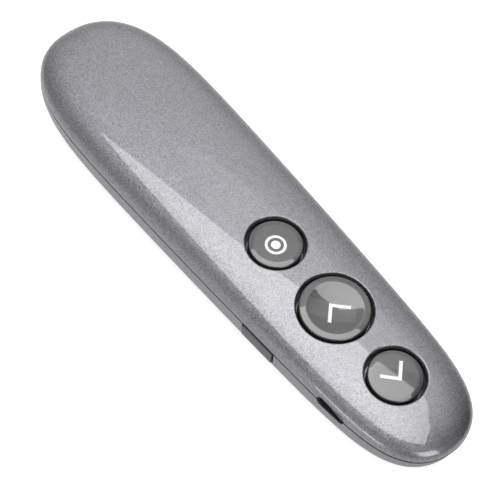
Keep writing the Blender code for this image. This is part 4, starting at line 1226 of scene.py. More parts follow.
FINISHES: tuple[Finish, ...] = (
    Finish("casing_lacquer", Effect.FLAKES, (0.092, 0.090, 0.099), (0.406, 0.400, 0.430), 0.00016,
           (0.42, 0.50), metallic=1.0, coat=1.0, coat_roughness=0.012, coat_ior=1.68),
    Finish("button_gloss", Effect.GRAIN, (0.036, 0.036, 0.039), (0.084, 0.083, 0.088), 0.00020,
           (0.20, 0.28), metallic=0.35, coat=1.0, coat_roughness=0.012, coat_ior=1.68),
    Finish("power_key_grey", Effect.GRAIN, (0.130, 0.130, 0.136), (0.170, 0.170, 0.176), 0.00018,
           (0.30, 0.42), depth=0.000003, metallic=0.4),
    Finish("black_plastic", Effect.GRAIN, (0.010, 0.010, 0.011), (0.022, 0.022, 0.023), 0.00025,
           (0.42, 0.60), depth=0.000012),
    Finish("laser_window", Effect.GRAIN, (0.16, 0.012, 0.012), (0.22, 0.020, 0.020), 0.00060, (0.02, 0.06),
           transmission=0.6, ior=1.49),
    Finish("barrel_brass", Effect.TURNED, (0.72, 0.50, 0.22), (0.58, 0.38, 0.15), 0.00060, (0.22, 0.36),
           depth=0.000010, metallic=1.0),
    Finish("lens_glass", Effect.GRAIN, (0.90, 0.93, 0.96), (0.86, 0.90, 0.95), 0.00100, (0.01, 0.03),
           transmission=1.0, ior=1.52),
    Finish("diode_can", Effect.TURNED, (0.85, 0.62, 0.26), (0.74, 0.52, 0.20), 0.00040, (0.20, 0.32),
           depth=0.000005, metallic=1.0),
    Finish("wire_red", Effect.GRAIN, (0.52, 0.020, 0.015), (0.66, 0.035, 0.025), 0.00040, (0.34, 0.48),
           depth=0.000008),
    Finish("wire_black", Effect.GRAIN, (0.012, 0.012, 0.012), (0.028, 0.028, 0.028), 0.00040, (0.34, 0.48),
           depth=0.000008),
    Finish("board_laminate", Effect.TRACES, (0.010, 0.110, 0.045), (0.030, 0.235, 0.095), 0.00200,
           (0.26, 0.36), depth=0.000025, coat=0.4),
    Finish("chip_black", Effect.GRAIN, (0.012, 0.012, 0.013), (0.030, 0.030, 0.032), 0.00012, (0.45, 0.62),
           depth=0.000006),
    Finish("crystal_can", Effect.BRUSHED, (0.60, 0.60, 0.62), (0.70, 0.70, 0.72), 0.00010, (0.22, 0.38),
           depth=0.000003, metallic=1.0),
    Finish("switch_body", Effect.GRAIN, (0.020, 0.020, 0.021), (0.040, 0.040, 0.042), 0.00020, (0.40, 0.55),
           depth=0.000008),
    Finish("switch_plunger", Effect.GRAIN, (0.72, 0.71, 0.66), (0.80, 0.79, 0.74), 0.00030, (0.36, 0.50),
           depth=0.000006),
    Finish("port_steel", Effect.BRUSHED, (0.58, 0.58, 0.60), (0.72, 0.72, 0.74), 0.00012, (0.20, 0.36),
           depth=0.000004, metallic=1.0),
    Finish("cell_foil", Effect.CRINKLE, (0.62, 0.63, 0.65), (0.74, 0.75, 0.77), 0.00400, (0.28, 0.40),
           depth=0.000060, metallic=0.9),
    Finish("foam", Effect.CELLS, (0.70, 0.70, 0.66), (0.86, 0.86, 0.83), 0.00035, (0.85, 0.95),
           depth=0.000060),
    Finish("connector_plastic", Effect.GRAIN, (0.80, 0.77, 0.68), (0.88, 0.85, 0.77), 0.00030, (0.36, 0.50),
           depth=0.000008),
    Finish("screw_steel", Effect.BRUSHED, (0.56, 0.56, 0.57), (0.70, 0.70, 0.71), 0.00010, (0.24, 0.40),
           depth=0.000004, metallic=1.0),
    Finish("magnet_nickel", Effect.BRUSHED, (0.64, 0.63, 0.60), (0.74, 0.73, 0.70), 0.00020, (0.16, 0.26),
           depth=0.000003, metallic=1.0),
)
EXTRA_FINISHES: tuple[Finish, ...] = (
    Finish("mark_white", Effect.GRAIN, (0.90, 0.90, 0.92), (0.95, 0.95, 0.96), 0.00030, (0.30, 0.42)),
    Finish("contact_gold", Effect.BRUSHED, (0.85, 0.64, 0.28), (0.78, 0.56, 0.22), 0.00010, (0.18, 0.30),
           metallic=1.0),
)


class FinishBook:
    """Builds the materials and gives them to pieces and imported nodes."""

    def __init__(self, finishes: Iterable[Finish]) -> None:
        """Build every finish once."""
        self.materials = {finish.slot: finish.build() for finish in finishes}

    def dress(self, obj: bpy.types.Object, slot: str) -> None:
        """Give a new piece one finish."""
        obj.data.materials.clear()
        obj.data.materials.append(self.materials[slot])

    def add(self, obj: bpy.types.Object, slot: str) -> None:
        """Give a dressed piece a second finish, for the faces that are then marked for it."""
        obj.data.materials.append(self.materials[slot])

    def dress_nodes(self) -> int:
        """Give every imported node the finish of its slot.

        Returns:
            How many nodes there were.
        """
        slots = {part["node"]: part["material_slot"] for part in frame["record"]["subparts"]}
        for node, slot in slots.items():
            for holder in frame["nodes"][node].material_slots:
                holder.material = self.materials[slot]
        return len(slots)


BOOK = FinishBook((*FINISHES, *EXTRA_FINISHES))


def finish_piece(obj: bpy.types.Object, body: str, slot: str, nodes: tuple[str, ...] = (),
                 dress: str | None = None) -> None:
    """Dress a finished piece and tie it to the frame.

    Args:
        obj: The piece, with its place in its mesh.
        body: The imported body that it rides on.
        slot: The record's slot that it takes its finish from.
        nodes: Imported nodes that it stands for.
        dress: Another finish of the book, where it differs from the slot.
    """
    BOOK.dress(obj, dress or slot)
    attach(obj, body)
    if nodes:
        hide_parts(*nodes)
    LOG.info("%s: %d faces on %s", obj.name, len(obj.data.polygons), body)


def finish_contacts(name: str, body: str, edge: float, boxes: Iterable[tuple[Triple, Triple]]) -> None:
    """Build the gold contacts of a plug or a port as one piece.

    Args:
        name: Name of the piece.
        body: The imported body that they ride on.
        edge: Width of their rounded edges.
        boxes: Lowest and highest corner of each contact.
    """
    strips = [round_edges(block(name, low, high), edge, 2) for low, high in boxes]
    finish_piece(join_pieces(strips), body, "barrel_brass", dress="contact_gold")


# Buttons


class Mark(Enum):
    """What is printed on a button."""

    RING_AND_DOT = "ring and dot"
    CHEVRON_TO_NOSE = "chevron to the nose"
    CHEVRON_TO_REAR = "chevron to the rear"


@dataclass(frozen=True)
class Button:
    """One round push button with its printed mark."""

    name: str
    y: float
    radius: float
    hole_gap: float
    recess: float
    rise: float
    dish: float
    mark: Mark
    lip: float
    mark_shift: Pair
    dish_share: float = 0.80
    rim_drop: float = 0.00010
    edge: float = 0.00036
    flange_reach: float = 0.0012
    flange_height: float = 0.0007
    skirt_wall: float = 0.0011
    top_wall: float = 0.0013
    stem_radius: float = 0.0015
    stem_end_z: float = 0.01285
    frame_thickness: float = 0.0009
    mark_stroke: float = 0.00080
    rim_power: float = 1.4
    under_share: float = 0.4
    dish_rings: int = 20
    rim_rings: int = 9
    edge_rings: int = 6
    steps: int = 96

    @property
    def tilt(self) -> float:
        """Turn about X that stands the button square to the crown."""
        step = 0.00014
        return math.atan((FORM.crown_z(self.y + step) - FORM.crown_z(self.y - step)) / (2 * step))

    @property
    def top(self) -> Vector:
        """The point where the button's axis leaves the crown."""
        return Vector((0.0, self.y, FORM.crown_z(self.y)))

    @property
    def matrix(self) -> Matrix:
        """Carries a piece made about Z onto the button's axis."""
        return Matrix.Translation(self.top) @ Matrix.Rotation(self.tilt, 4, "X")

    @property
    def axis(self) -> Vector:
        """The way out of the crown along the button's axis."""
        return self.matrix.to_3x3() @ Vector(UP)

    def opening(self) -> Opening:
        """The hole for this button in the top shell."""
        radius = self.radius + self.hole_gap
        return Opening(self.top, self.axis, RIGHT, radius, radius, radius, self.lip)

    def surface(self, r: np.ndarray) -> np.ndarray:
        """Height of the cap's top on its own axis, by distance from the axis.

        Args:
            r: Distances from the axis.

        Returns:
            The heights above the crown.
        """
        flat = self.radius - self.edge
        rise = self.rise * (1.0 - (r / flat) ** 2)
        inner = self.radius * self.dish_share
        dip = self.dish * np.maximum(0.0, 1.0 - (r / inner) ** 2)
        rim = self.rim_drop * np.maximum(0.0, (r - inner) / (flat - inner)) ** self.rim_power
        return rise - self.recess - dip - rim

    def flange_level(self) -> float:
        """Height of the flange's upper face on the button's own axis.

        Returns:
            The height above the crown.
        """
        inner = BodyForm(inset=SHELL_WALL + SEAT_GAP + self.frame_thickness)
        share = (self.radius + self.flange_reach) / inner.half_width_at(self.y)
        lower = inner.half_height_at(self.y) * (1.0 - share ** inner.crown_power) ** (1.0 / inner.crown_power)
        return lower - (self.top.z - FORM.parting_z) - SEAT_GAP

    def section(self) -> list[Pair]:
        """Half section of the cap from the centre of its top round to its stem.

        Returns:
            Radius and height of each point.
        """
        flat = self.radius - self.edge
        inner = self.radius * self.dish_share
        radii = [*np.linspace(0.0, inner, self.dish_rings), *np.linspace(inner, flat, self.rim_rings)[1:]]
        section = [(float(r), float(self.surface(np.array(r)))) for r in radii]
        for step in range(1, self.edge_rings + 1):
            angle = math.pi / 2 * step / self.edge_rings
            section.append((flat + self.edge * math.sin(angle),
                            self.edge * (math.cos(angle) - 1.0) - self.recess - self.rim_drop))
        level = self.flange_level()
        bulge = 0.0 if self.dish else self.rise * self.under_share
        under = -self.recess - self.dish - self.top_wall + bulge
        stem_end = self.stem_end_z - self.top.z
        inner = self.radius - self.skirt_wall
        wide = self.radius + self.flange_reach
        section += [
            (self.radius, level), (wide, level), (wide, level - self.flange_height),
            (inner, level - self.flange_height), (inner, under), (self.stem_radius, under),
            (self.stem_radius, stem_end), (0.0, stem_end)]
        return section

    def build(self) -> None:
        """Build the cap and its mark."""
        cap = move(turned(self.name + "_cap", self.section(), self.steps), self.matrix)
        finish_piece(smooth(cap, CAP_ANGLE), self.name, "button_gloss", (self.name + "_cap",))
        mark = self.ring_and_dot() if self.mark is Mark.RING_AND_DOT else self.chevron()
        finish_piece(mark, self.name, "button_gloss", dress="mark_white")

    def _lay(self, obj: bpy.types.Object, lift: float = 0.000035) -> bpy.types.Object:
        """Lay a flat mark on the cap's curved top, give it thickness and carry it into place.

        Args:
            obj: The flat mark, about the cap's axis.
            lift: How far it stands above the cap, which is half its thickness.

        Returns:
            The finished mark.
        """
        for vert in obj.data.vertices:
            vert.co.x += self.mark_shift[0]
            vert.co.y += self.mark_shift[1]
            r = math.hypot(vert.co.x, vert.co.y)
            vert.co.z = float(self.surface(np.array(r))) + lift
        solid = obj.modifiers.new("ink", "SOLIDIFY")
        solid.thickness = lift * 2.0
        solid.offset = -1.0
        return smooth(move(apply_all(obj), self.matrix), MARK_ANGLE)

    def ring_and_dot(self, outer: float = 0.00250, inner: float = 0.00185,
                     dot: float = 0.00111) -> bpy.types.Object:
        """The laser button's mark: a dot inside a ring.

        Args:
            outer: Outer radius of the ring.
            inner: Inner radius of the ring.
            dot: Radius of the dot.

        Returns:
            The mark.
        """
        discs = []
        for sides, radius, inset, insets in ((96, outer, (outer - inner) / 2, 2), (64, dot, dot / 4, 3)):
            deselect()
            bpy.ops.mesh.primitive_circle_add(vertices=sides, radius=radius, fill_type="NGON")
            discs.append(named(self.name + "_mark"))
            edit(discs[-1], "FACE", "SELECT")
            for _ in range(insets):
                bpy.ops.mesh.inset(thickness=inset)
            if radius == outer:
                bpy.ops.mesh.delete(type="FACE")
            leave_edit()
        ring, spot = discs
        pick(ring)
        spot.select_set(True)
        bpy.ops.object.join()
        return self._lay(ring)

    def chevron(self) -> bpy.types.Object:
        """A page button's mark: two arms that meet in a point.

        Returns:
            The mark.
        """
        to_nose = self.mark is Mark.CHEVRON_TO_NOSE
        arm, point_y, sign = (0.00490, 0.00165, 1.0) if to_nose else (0.00480, 0.00140, -1.0)
        diagonal = math.sqrt(2.0)
        half, reach = self.mark_stroke / diagonal, arm / diagonal
        inner = ((0.0, point_y - self.mark_stroke * diagonal), (reach - half, point_y - reach - half))
        outer = ((0.0, point_y), (reach, point_y - reach))
        deselect()
        bpy.ops.mesh.primitive_grid_add(x_subdivisions=24, y_subdivisions=4, size=1.0)
        obj = named(self.name + "_mark")
        for vert in obj.data.vertices:
            u, v = vert.co.x + 0.5, vert.co.y + 0.5
            low, high = ([a + (b - a) * u for a, b in zip(*side)] for side in (inner, outer))
            x, y = (a + (b - a) * v for a, b in zip(low, high))
            vert.co = (x, sign * y, 0.0)
        mirror = obj.modifiers.new("other_arm", "MIRROR")
        mirror.use_axis[0] = True
        mirror.merge_threshold = 0.00001
        weld(apply_all(obj))
        if obj.data.polygons[0].normal.z < 0.0:
            edit(obj, action="SELECT")
            bpy.ops.mesh.flip_normals()
            leave_edit()
        return self._lay(obj)


BUTTONS: tuple[Button, ...] = (
    Button("laser_button", -0.00925, 0.0063, 0.00075, 0.00040, 0.00006, 0.0, Mark.RING_AND_DOT, 0.00042,
           (-0.00029, -0.00026)),
    Button("page_up_button", -0.02985, 0.0082, 0.00070, 0.00010, 0.0, 0.00060, Mark.CHEVRON_TO_NOSE, 0.00035,
           (-0.00014, 0.00015)),
    Button("page_down_button", -0.0503, 0.0063, 0.00075, 0.00040, 0.00006, 0.0, Mark.CHEVRON_TO_REAR, 0.00042,
           (0.00017, -0.00033)),
)


# Casing


@dataclass(frozen=True)
class Casing:
    """The two shells, with their holes, notch, slot, bore, bay and screw wells."""

    port_length: float = 0.00805
    port_height: float = 0.0029
    port_lip: float = 0.00016
    port_depth: float = 0.0045
    port_pitch: float = 0.00022
    port_roundness: float = 0.98
    notch_rise: float = 0.0030
    notch_corner: float = 0.00040
    notch_lip: float = 0.00012
    notch_pitch: float = 0.00026
    bore_radius: float = 0.00236
    bore_lip: float = 0.00022
    outer_layer: float = 0.00065
    inner_limit: float = 0.00060
    # How deep and how far turned a face may be before it gets black plastic, which is also the painted shade
    # of the openings.
    lacquer_shade_reach: float = 0.00062
    lacquer_shade_turn: float = 0.30
    screw_places: tuple[Pair, ...] = (
        (-0.0104967, 0.049), (0.0104967, 0.049), (-0.008196, -0.058), (0.008196, -0.058))
    counterbore_radius: float = 0.0020
    counterbore_top: float = 0.00495
    bay_rear: float = -0.0373
    bay_front: float = -0.0181
    bay_half_width: float = 0.0075
    bay_top: float = 0.0061
    scoop_length: float = 0.0050
    scoop_half_width: float = 0.0045
    scoop_depth: float = 0.0024
    overrun: float = 0.0020

    def slot_opening(self) -> Opening:
        """The charging opening in the left side.

        Returns:
            The opening.
        """
        place = Vector((-FORM.half_width_at(PORT_Y), PORT_Y, FORM.parting_z))
        half = self.port_height / 2
        return Opening(place, LEFT, AHEAD, self.port_length / 2, half, half * self.port_roundness,
                       self.port_lip, depth=self.port_depth, pitch=self.port_pitch)

    def bore_opening(self) -> Opening:
        """The round opening for the laser window in the nose.

        Returns:
            The opening.
        """
        place = Vector((0.0, FORM.reach, FORM.parting_z))
        radius = self.bore_radius
        return Opening(place, AHEAD, RIGHT, radius, radius, radius, self.bore_lip)

    def notch_opening(self) -> Opening:
        """The notch for the power key, which runs up past the parting plane.

        Returns:
            The opening.
        """
        low, high = FORM.parting_z - NOTCH_DEPTH, FORM.parting_z + self.notch_rise
        place = Vector((-FORM.half_width_at(KEY_Y), KEY_Y, (low + high) / 2))
        return Opening(place, LEFT, AHEAD, NOTCH_LENGTH / 2, (high - low) / 2, self.notch_corner,
                       self.notch_lip, pitch=self.notch_pitch)

    def shell(self, name: str, openings: list[Opening], node: str) -> bpy.types.Object:
        """One shell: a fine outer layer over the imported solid's own inside.

        Args:
            name: Name of the finished piece.
            openings: Openings sunk into its outside.
            node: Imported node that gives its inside.

        Returns:
            The shell.
        """
        upper = node == "top_shell"
        skin = Skin(name, FORM)
        for opening in openings:
            skin.sink(opening)
        obj = skin.obj
        half_gap = PARTING_GAP / 2
        slice_flat(obj, FORM.parting_z + (half_gap if upper else -half_gap), upper)
        if not upper:
            slice_flat(obj, 0.0, True)
            self.cut_underside(obj)
        boolean(obj, BodyForm(inset=self.outer_layer).mesh("hollow"), "DIFFERENCE")
        inside = merged_copy(node, name + "_inside")
        boolean(inside, BodyForm(inset=self.inner_limit).mesh("limit"), "INTERSECT")
        boolean(obj, inside, "UNION")
        lay_true_normals(obj, FORM)
        return obj

    def lacquer_and_shade_openings(self, obj: bpy.types.Object) -> None:
        """Leave the bare black plastic on every face that the lacquer's spray wouldn't reach; this black also
        darkens the walls inside the holes, slot, notch, bore and bay as painted shade.

        Args:
            obj: The shell.
        """
        BOOK.add(obj, "black_plastic")
        faces = obj.data.polygons
        distance, outward = FORM.field(read(faces, "center", 3))
        open_way = np.sum(read(faces, "normal", 3) * outward, axis=1)
        # Faces deep inside the openings or turned away from the outside get black: partly bare plastic,
        # partly painted shade in those recesses.
        painted = (distance > -self.lacquer_shade_reach) & (open_way > self.lacquer_shade_turn)
        faces.foreach_set("material_index", np.where(painted, 0, 1).astype(np.int32))

    def cut_underside(self, obj: bpy.types.Object) -> None:
        """Open the bay, its finger scoop and the screw wells in the outer layer.

        Args:
            obj: The bottom shell's outer layer.
        """
        bay = block("bay", (-self.bay_half_width, self.bay_rear, -self.overrun),
                    (self.bay_half_width, self.bay_front, self.bay_top))
        scoop = block("scoop", (-self.scoop_half_width, self.bay_rear - self.scoop_length, -self.overrun),
                      (self.scoop_half_width, self.bay_rear + self.overrun, self.scoop_depth))
        for vert in scoop.data.vertices:
            if vert.co.z > 0.0 and vert.co.y < self.bay_rear:
                vert.co.z = 0.0
        middle, height = (self.counterbore_top - self.overrun) / 2, self.counterbore_top + self.overrun
        wells = [rod("well", (x, y, middle), self.counterbore_radius, height) for x, y in self.screw_places]
        for tool in (bay, scoop, *wells):
            boolean(obj, tool, "DIFFERENCE")

    def build(self) -> None:
        """Build both shells."""
        slot, bore = self.slot_opening(), self.bore_opening()
        holes = [button.opening() for button in BUTTONS]
        for name, node, openings in (
                ("casing_top", "top_shell", [*holes, slot, bore]),
                ("casing_bottom", "bottom_shell", [slot, bore, self.notch_opening()])):
            shell = self.shell(name, openings, node)
            finish_piece(shell, "casing", "casing_lacquer", (node,))
            # The black inner faces are bare plastic and also painted shade inside the openings.
            self.lacquer_and_shade_openings(shell)


# Power key


@dataclass(frozen=True)
class PowerKey:
    """The push key in the left side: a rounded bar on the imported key's flange and post."""

    top_drop: float = 0.00045
    proud: float = 0.00042
    corner: float = 0.00040
    root_inset: float = 0.0021
    inner_limit: float = 0.00185
    cuts: int = 15

    def build(self) -> None:
        """Build the key."""
        reach = NOTCH_LENGTH / 2 - SEAT_GAP
        low = FORM.parting_z - NOTCH_DEPTH + SEAT_GAP
        high = FORM.parting_z - self.top_drop
        outer, root = BodyForm(inset=-self.proud), BodyForm(inset=self.root_inset)
        deselect()
        bpy.ops.mesh.primitive_cube_add(size=1.0)
        key = named("power_key_bar")
        edit(key, action="SELECT")
        bpy.ops.mesh.subdivide(number_cuts=self.cuts)
        leave_edit()
        for vert in key.data.vertices:
            y = KEY_Y + vert.co.y * 2.0 * reach
            z = low + (vert.co.z + 0.5) * (high - low)
            face, back = -outer.side_x(y, z), -root.side_x(y, z)
            vert.co = (face + (vert.co.x + 0.5) * (back - face), y, z)
        round_edges(key, self.corner, 4, SKIN_ANGLE)
        inside = merged_copy("power_key", "power_key_inside")
        boolean(inside, BodyForm(inset=self.inner_limit).mesh("limit"), "INTERSECT")
        boolean(key, inside, "UNION")
        finish_piece(smooth(key), "power_key_group", "power_key_grey", ("power_key",))


# Charging port


@dataclass(frozen=True)
class ChargingPort:
    """The charging receptacle behind the side slot: a folded shell, a tongue and its contacts."""

    half_length: float = 0.003725
    half_height: float = 0.00115
    mouth_drop: float = 0.0010
    depth: float = 0.0046
    wall: float = 0.00025
    corner: float = 0.0006
    edge: float = 0.00006
    tongue_length: float = 0.0034
    tongue_thickness: float = 0.0006
    tongue_edge: float = 0.00012
    contact_count: int = 5
    contact_pitch: float = 0.00065
    contact_width: float = 0.00032
    contact_reach: Pair = (0.92, 0.10)
    contact_rise: float = 0.00004
    contact_sink: float = 0.00006
    contact_edge: float = 0.00002
    mouth_facing: float = 0.9

    def build(self) -> None:
        """Build the shell, the tongue and the contacts."""
        mouth = self.mouth_drop - FORM.half_width_at(PORT_Y)
        back = mouth + self.depth
        middle = FORM.parting_z
        shell = block("charging_port_case", (mouth, PORT_Y - self.half_length, middle - self.half_height),
                      (back, PORT_Y + self.half_length, middle + self.half_height))
        round_along(shell, 0, self.corner, 6)
        edit(shell, "FACE")
        bm = bmesh.from_edit_mesh(shell.data)
        for face in bm.faces:
            face.select_set(face.normal.x < -self.mouth_facing)
        bmesh.update_edit_mesh(shell.data)
        bpy.ops.mesh.inset(thickness=self.wall)
        bpy.ops.mesh.extrude_region_move(
            TRANSFORM_OT_translate={"value": (self.depth - self.wall, 0.0, 0.0)})
        leave_edit()
        round_edges(shell, self.edge, 2)
        finish_piece(smooth(shell), "casing", "port_steel", ("charging_port_shell",))

        inner = back - self.wall - SEAT_GAP
        top = middle + self.half_height - self.wall - SEAT_GAP
        low = top - self.tongue_thickness
        half = self.half_length / 2
        tongue = block("charging_port_blade", (inner - self.tongue_length, PORT_Y - half, low),
                       (inner, PORT_Y + half, top))
        round_edges(tongue, self.tongue_edge, 3)
        finish_piece(smooth(tongue), "casing", "chip_black", ("charging_port_tongue",))
        front, rear = (inner - self.tongue_length * share for share in self.contact_reach)
        half = self.contact_width / 2
        places = [PORT_Y + (index - (self.contact_count - 1) / 2) * self.contact_pitch
                  for index in range(self.contact_count)]
        finish_contacts("charging_port_contacts", "casing", self.contact_edge, [
            ((front, place - half, low - self.contact_rise), (rear, place + half, low + self.contact_sink))
            for place in places])


# Laser window


@dataclass(frozen=True)
class LaserWindow:
    """The clear window in the nose, flush with the body's form."""

    radius: float = 0.0021
    back_y: float = 0.0667
    front_y: float = 0.0720
    edge: float = 0.00010

    def build(self) -> None:
        """Build the window as a plug of the body's own form."""
        middle = (0.0, (self.back_y + self.front_y) / 2, FORM.parting_z)
        plug = rod("laser_window_plug", middle, self.radius, self.front_y - self.back_y, 96,
                   (math.pi / 2, 0.0, 0.0))
        boolean(plug, FORM.mesh("nose_form", 144, 640), "INTERSECT")
        round_edges(plug, self.edge, 2, SKIN_ANGLE)
        lay_true_normals(plug, FORM)
        finish_piece(plug, "casing", "laser_window", ("laser_window",))


# Screws


@dataclass(frozen=True)
class Screws:
    """Cross-head screws: four hold the shells together and three hold the board."""

    head: float = 0.0017
    head_height: float = 0.0011
    head_side: float = 0.0005
    head_edge: float = 0.00006
    shank: float = 0.00085
    thread: float = 0.00010
    pitch: float = 0.00050
    case_length: float = 0.0075
    board_length: float = 0.0045
    case_seat_z: float = 0.00465
    board_seat_z: float = 0.0090
    recess_half_length: float = 0.00105
    recess_half_width: float = 0.00022
    recess_depth: float = 0.00065
    recess_taper: Pair = (0.45, 0.75)
    recess_overrun: float = 0.0005
    point: tuple[Pair, ...] = ((0.0, 0.0), (0.45, 0.0001), (0.8, 0.0007))
    thread_ends: Pair = (0.0007, 0.0009)
    neck: float = 0.0004
    head_rings: int = 8
    case_turns: Pair = (0.5, 1.0)
    board_turns: Pair = (0.3, 0.9)
    case_corners: tuple[str, ...] = ("front_left", "front_right", "rear_left", "rear_right")
    board_places: tuple[Pair, ...] = ((-0.0096044, 0.00015), (0.0096044, 0.00015), (0.008516, -0.0445))

    def screw(self, name: str, length: float) -> bpy.types.Object:
        """One screw that points up, with its head's seat at zero.

        Args:
            name: Name of the new object.
            length: Length under the head.

        Returns:
            The screw.
        """
        section = [(self.shank * share, length - back) for share, back in self.point]
        height = length - self.thread_ends[1]
        while height > self.thread_ends[0]:
            section += [(self.shank, height), (self.shank - self.thread, height - self.pitch / 2)]
            height -= self.pitch
        section += [(self.shank, self.neck), (self.shank, 0.0), (self.head - self.head_edge, 0.0),
                    (self.head, -self.head_edge)]
        for step in range(self.head_rings + 1):
            angle = math.pi / 2 * step / self.head_rings
            section.append((self.head * math.cos(angle) ** 0.5 if step < self.head_rings else 0.0,
                            -self.head_side - (self.head_height - self.head_side) * math.sin(angle)))
        obj = turned(name, section, 40)
        reach, half = self.recess_half_length, self.recess_half_width
        for turn in (0.0, math.pi / 2):
            bar = block("bar", (-reach, -half, -self.head_height - self.recess_overrun),
                        (reach, half, self.recess_depth - self.head_height))
            for vert in bar.data.vertices:
                if vert.co.z > -self.head_height:
                    vert.co.x *= self.recess_taper[0]
                    vert.co.y *= self.recess_taper[1]
            boolean(obj, move(bar, Matrix.Rotation(turn, 4, "Z")), "DIFFERENCE")
        return smooth(obj)

    @staticmethod
    def _place(screw: bpy.types.Object, node: str, place: Triple, turn: Matrix) -> None:
        """Copy a screw to a place, turned its own way, and finish it."""
        copy = move(duplicate(screw, node + "_crosshead"), Matrix.Translation(place) @ turn)
        finish_piece(copy, "casing", "screw_steel", (node,))

    def build(self, places: tuple[Pair, ...]) -> None:
        """Model each kind once and copy it to its places.

        Args:
            places: Places of the case screws, front left, front right, rear left and rear right.
        """
        case = self.screw("case_screw", self.case_length)
        for index, (corner, (x, y)) in enumerate(zip(self.case_corners, places)):
            turn = Matrix.Rotation(self.case_turns[0] + self.case_turns[1] * index, 4, "Z")
            self._place(case, "case_screw_" + corner, (x, y, self.case_seat_z), turn)
        board = self.screw("board_screw", self.board_length)
        for index, (x, y) in enumerate(self.board_places):
            turn = Matrix.Rotation(self.board_turns[0] + self.board_turns[1] * index, 4, "Z")
            turn = turn @ Matrix.Rotation(math.pi, 4, "X")
            self._place(board, f"board_screw_{index + 1}", (x, y, self.board_seat_z), turn)
        remove(case, board)


# Receiver


@dataclass(frozen=True)
class Receiver:
    """The plug-in radio receiver that lies in its bay in the underside."""

    rear_y: float = -0.0370
    housing_front_y: float = -0.0305
    plug_rear_y: float = -0.0302
    plug_front_y: float = -0.0184
    half_width: float = 0.0072
    low_z: float = 0.0003
    height: float = 0.0055
    corner: float = 0.0009
    plug_half_width: float = 0.0060
    plug_half_height: float = 0.00225
    plug_wall: float = 0.0003
    plug_corner: float = 0.00045
    plug_overrun: float = 0.001
    hole_places: Pair = (-0.0026, 0.0026)
    hole_half_width: float = 0.0011
    hole_span: Pair = (-0.0262, -0.0240)
    hole_top: float = 0.0070
    board_thickness: float = 0.0017
    board_edge: float = 0.00010
    groove_count: int = 3
    groove_pitch: float = 0.0011
    groove_start: float = 0.0018
    groove_radius: float = 0.00040
    groove_drop: float = 0.00018
    groove_reach: float = 1.3
    contact_places: tuple[Pair, ...] = (
        (-0.0035, 0.0086), (-0.0010, 0.0076), (0.0010, 0.0076), (0.0035, 0.0086))
    contact_half_width: float = 0.0005
    contact_rise: float = 0.00006
    contact_sink: float = 0.00005
    contact_setback: float = 0.0004
    contact_edge: float = 0.00003

    def build(self) -> None:
        """Build the housing, the plug, its insulator and its contacts."""
        high = self.low_z + self.height
        middle = (self.low_z + high) / 2
        housing = block("receiver_body", (-self.half_width, self.rear_y, self.low_z),
                        (self.half_width, self.housing_front_y, high))
        round_edges(housing, self.corner, 5)
        for index in range(self.groove_count):
            place = (0.0, self.rear_y + self.groove_start + index * self.groove_pitch,
                     self.low_z - self.groove_drop)
            groove = rod("groove", place, self.groove_radius, self.half_width * self.groove_reach, 24,
                         (0.0, math.pi / 2, 0.0))
            boolean(housing, groove, "DIFFERENCE")
        finish_piece(smooth(housing), "receiver", "black_plastic", ("receiver_housing",))

        plug, hollow = (
            block(name, (thick - self.plug_half_width, self.plug_rear_y - over,
                         middle - self.plug_half_height + thick),
                  (self.plug_half_width - thick, self.plug_front_y + over,
                   middle + self.plug_half_height - thick))
            for name, thick, over in (("receiver_plug", 0.0, 0.0),
                                      ("hollow", self.plug_wall, self.plug_overrun)))
        round_along(plug, 1, self.plug_corner, 4)
        round_along(hollow, 1, self.plug_corner - self.plug_wall * 0.5, 4)
        boolean(plug, hollow, "DIFFERENCE")
        half, (rear, front) = self.hole_half_width, self.hole_span
        for x in self.hole_places:
            hole = block("hole", (x - half, rear, 0.0), (x + half, front, self.hole_top))
            boolean(plug, hole, "DIFFERENCE")
        finish_piece(smooth(plug), "receiver", "port_steel", ("receiver_plug_shell",))

        inner = self.plug_half_width - self.plug_wall - SEAT_GAP
        low = middle - self.plug_half_height + self.plug_wall + SEAT_GAP
        top, front = low + self.board_thickness, self.plug_front_y - self.plug_wall
        board = block("receiver_insulator", (-inner, self.plug_rear_y, low), (inner, front, top))
        round_edges(board, self.board_edge, 2)
        finish_piece(smooth(board), "receiver", "connector_plastic", ("receiver_contact_board",))
        half, front = self.contact_half_width, front - self.contact_setback
        finish_contacts("receiver_contacts", "receiver", self.contact_edge, [
            ((x - half, front - reach, top - self.contact_sink), (x + half, front, top + self.contact_rise))
            for x, reach in self.contact_places])


# Studio


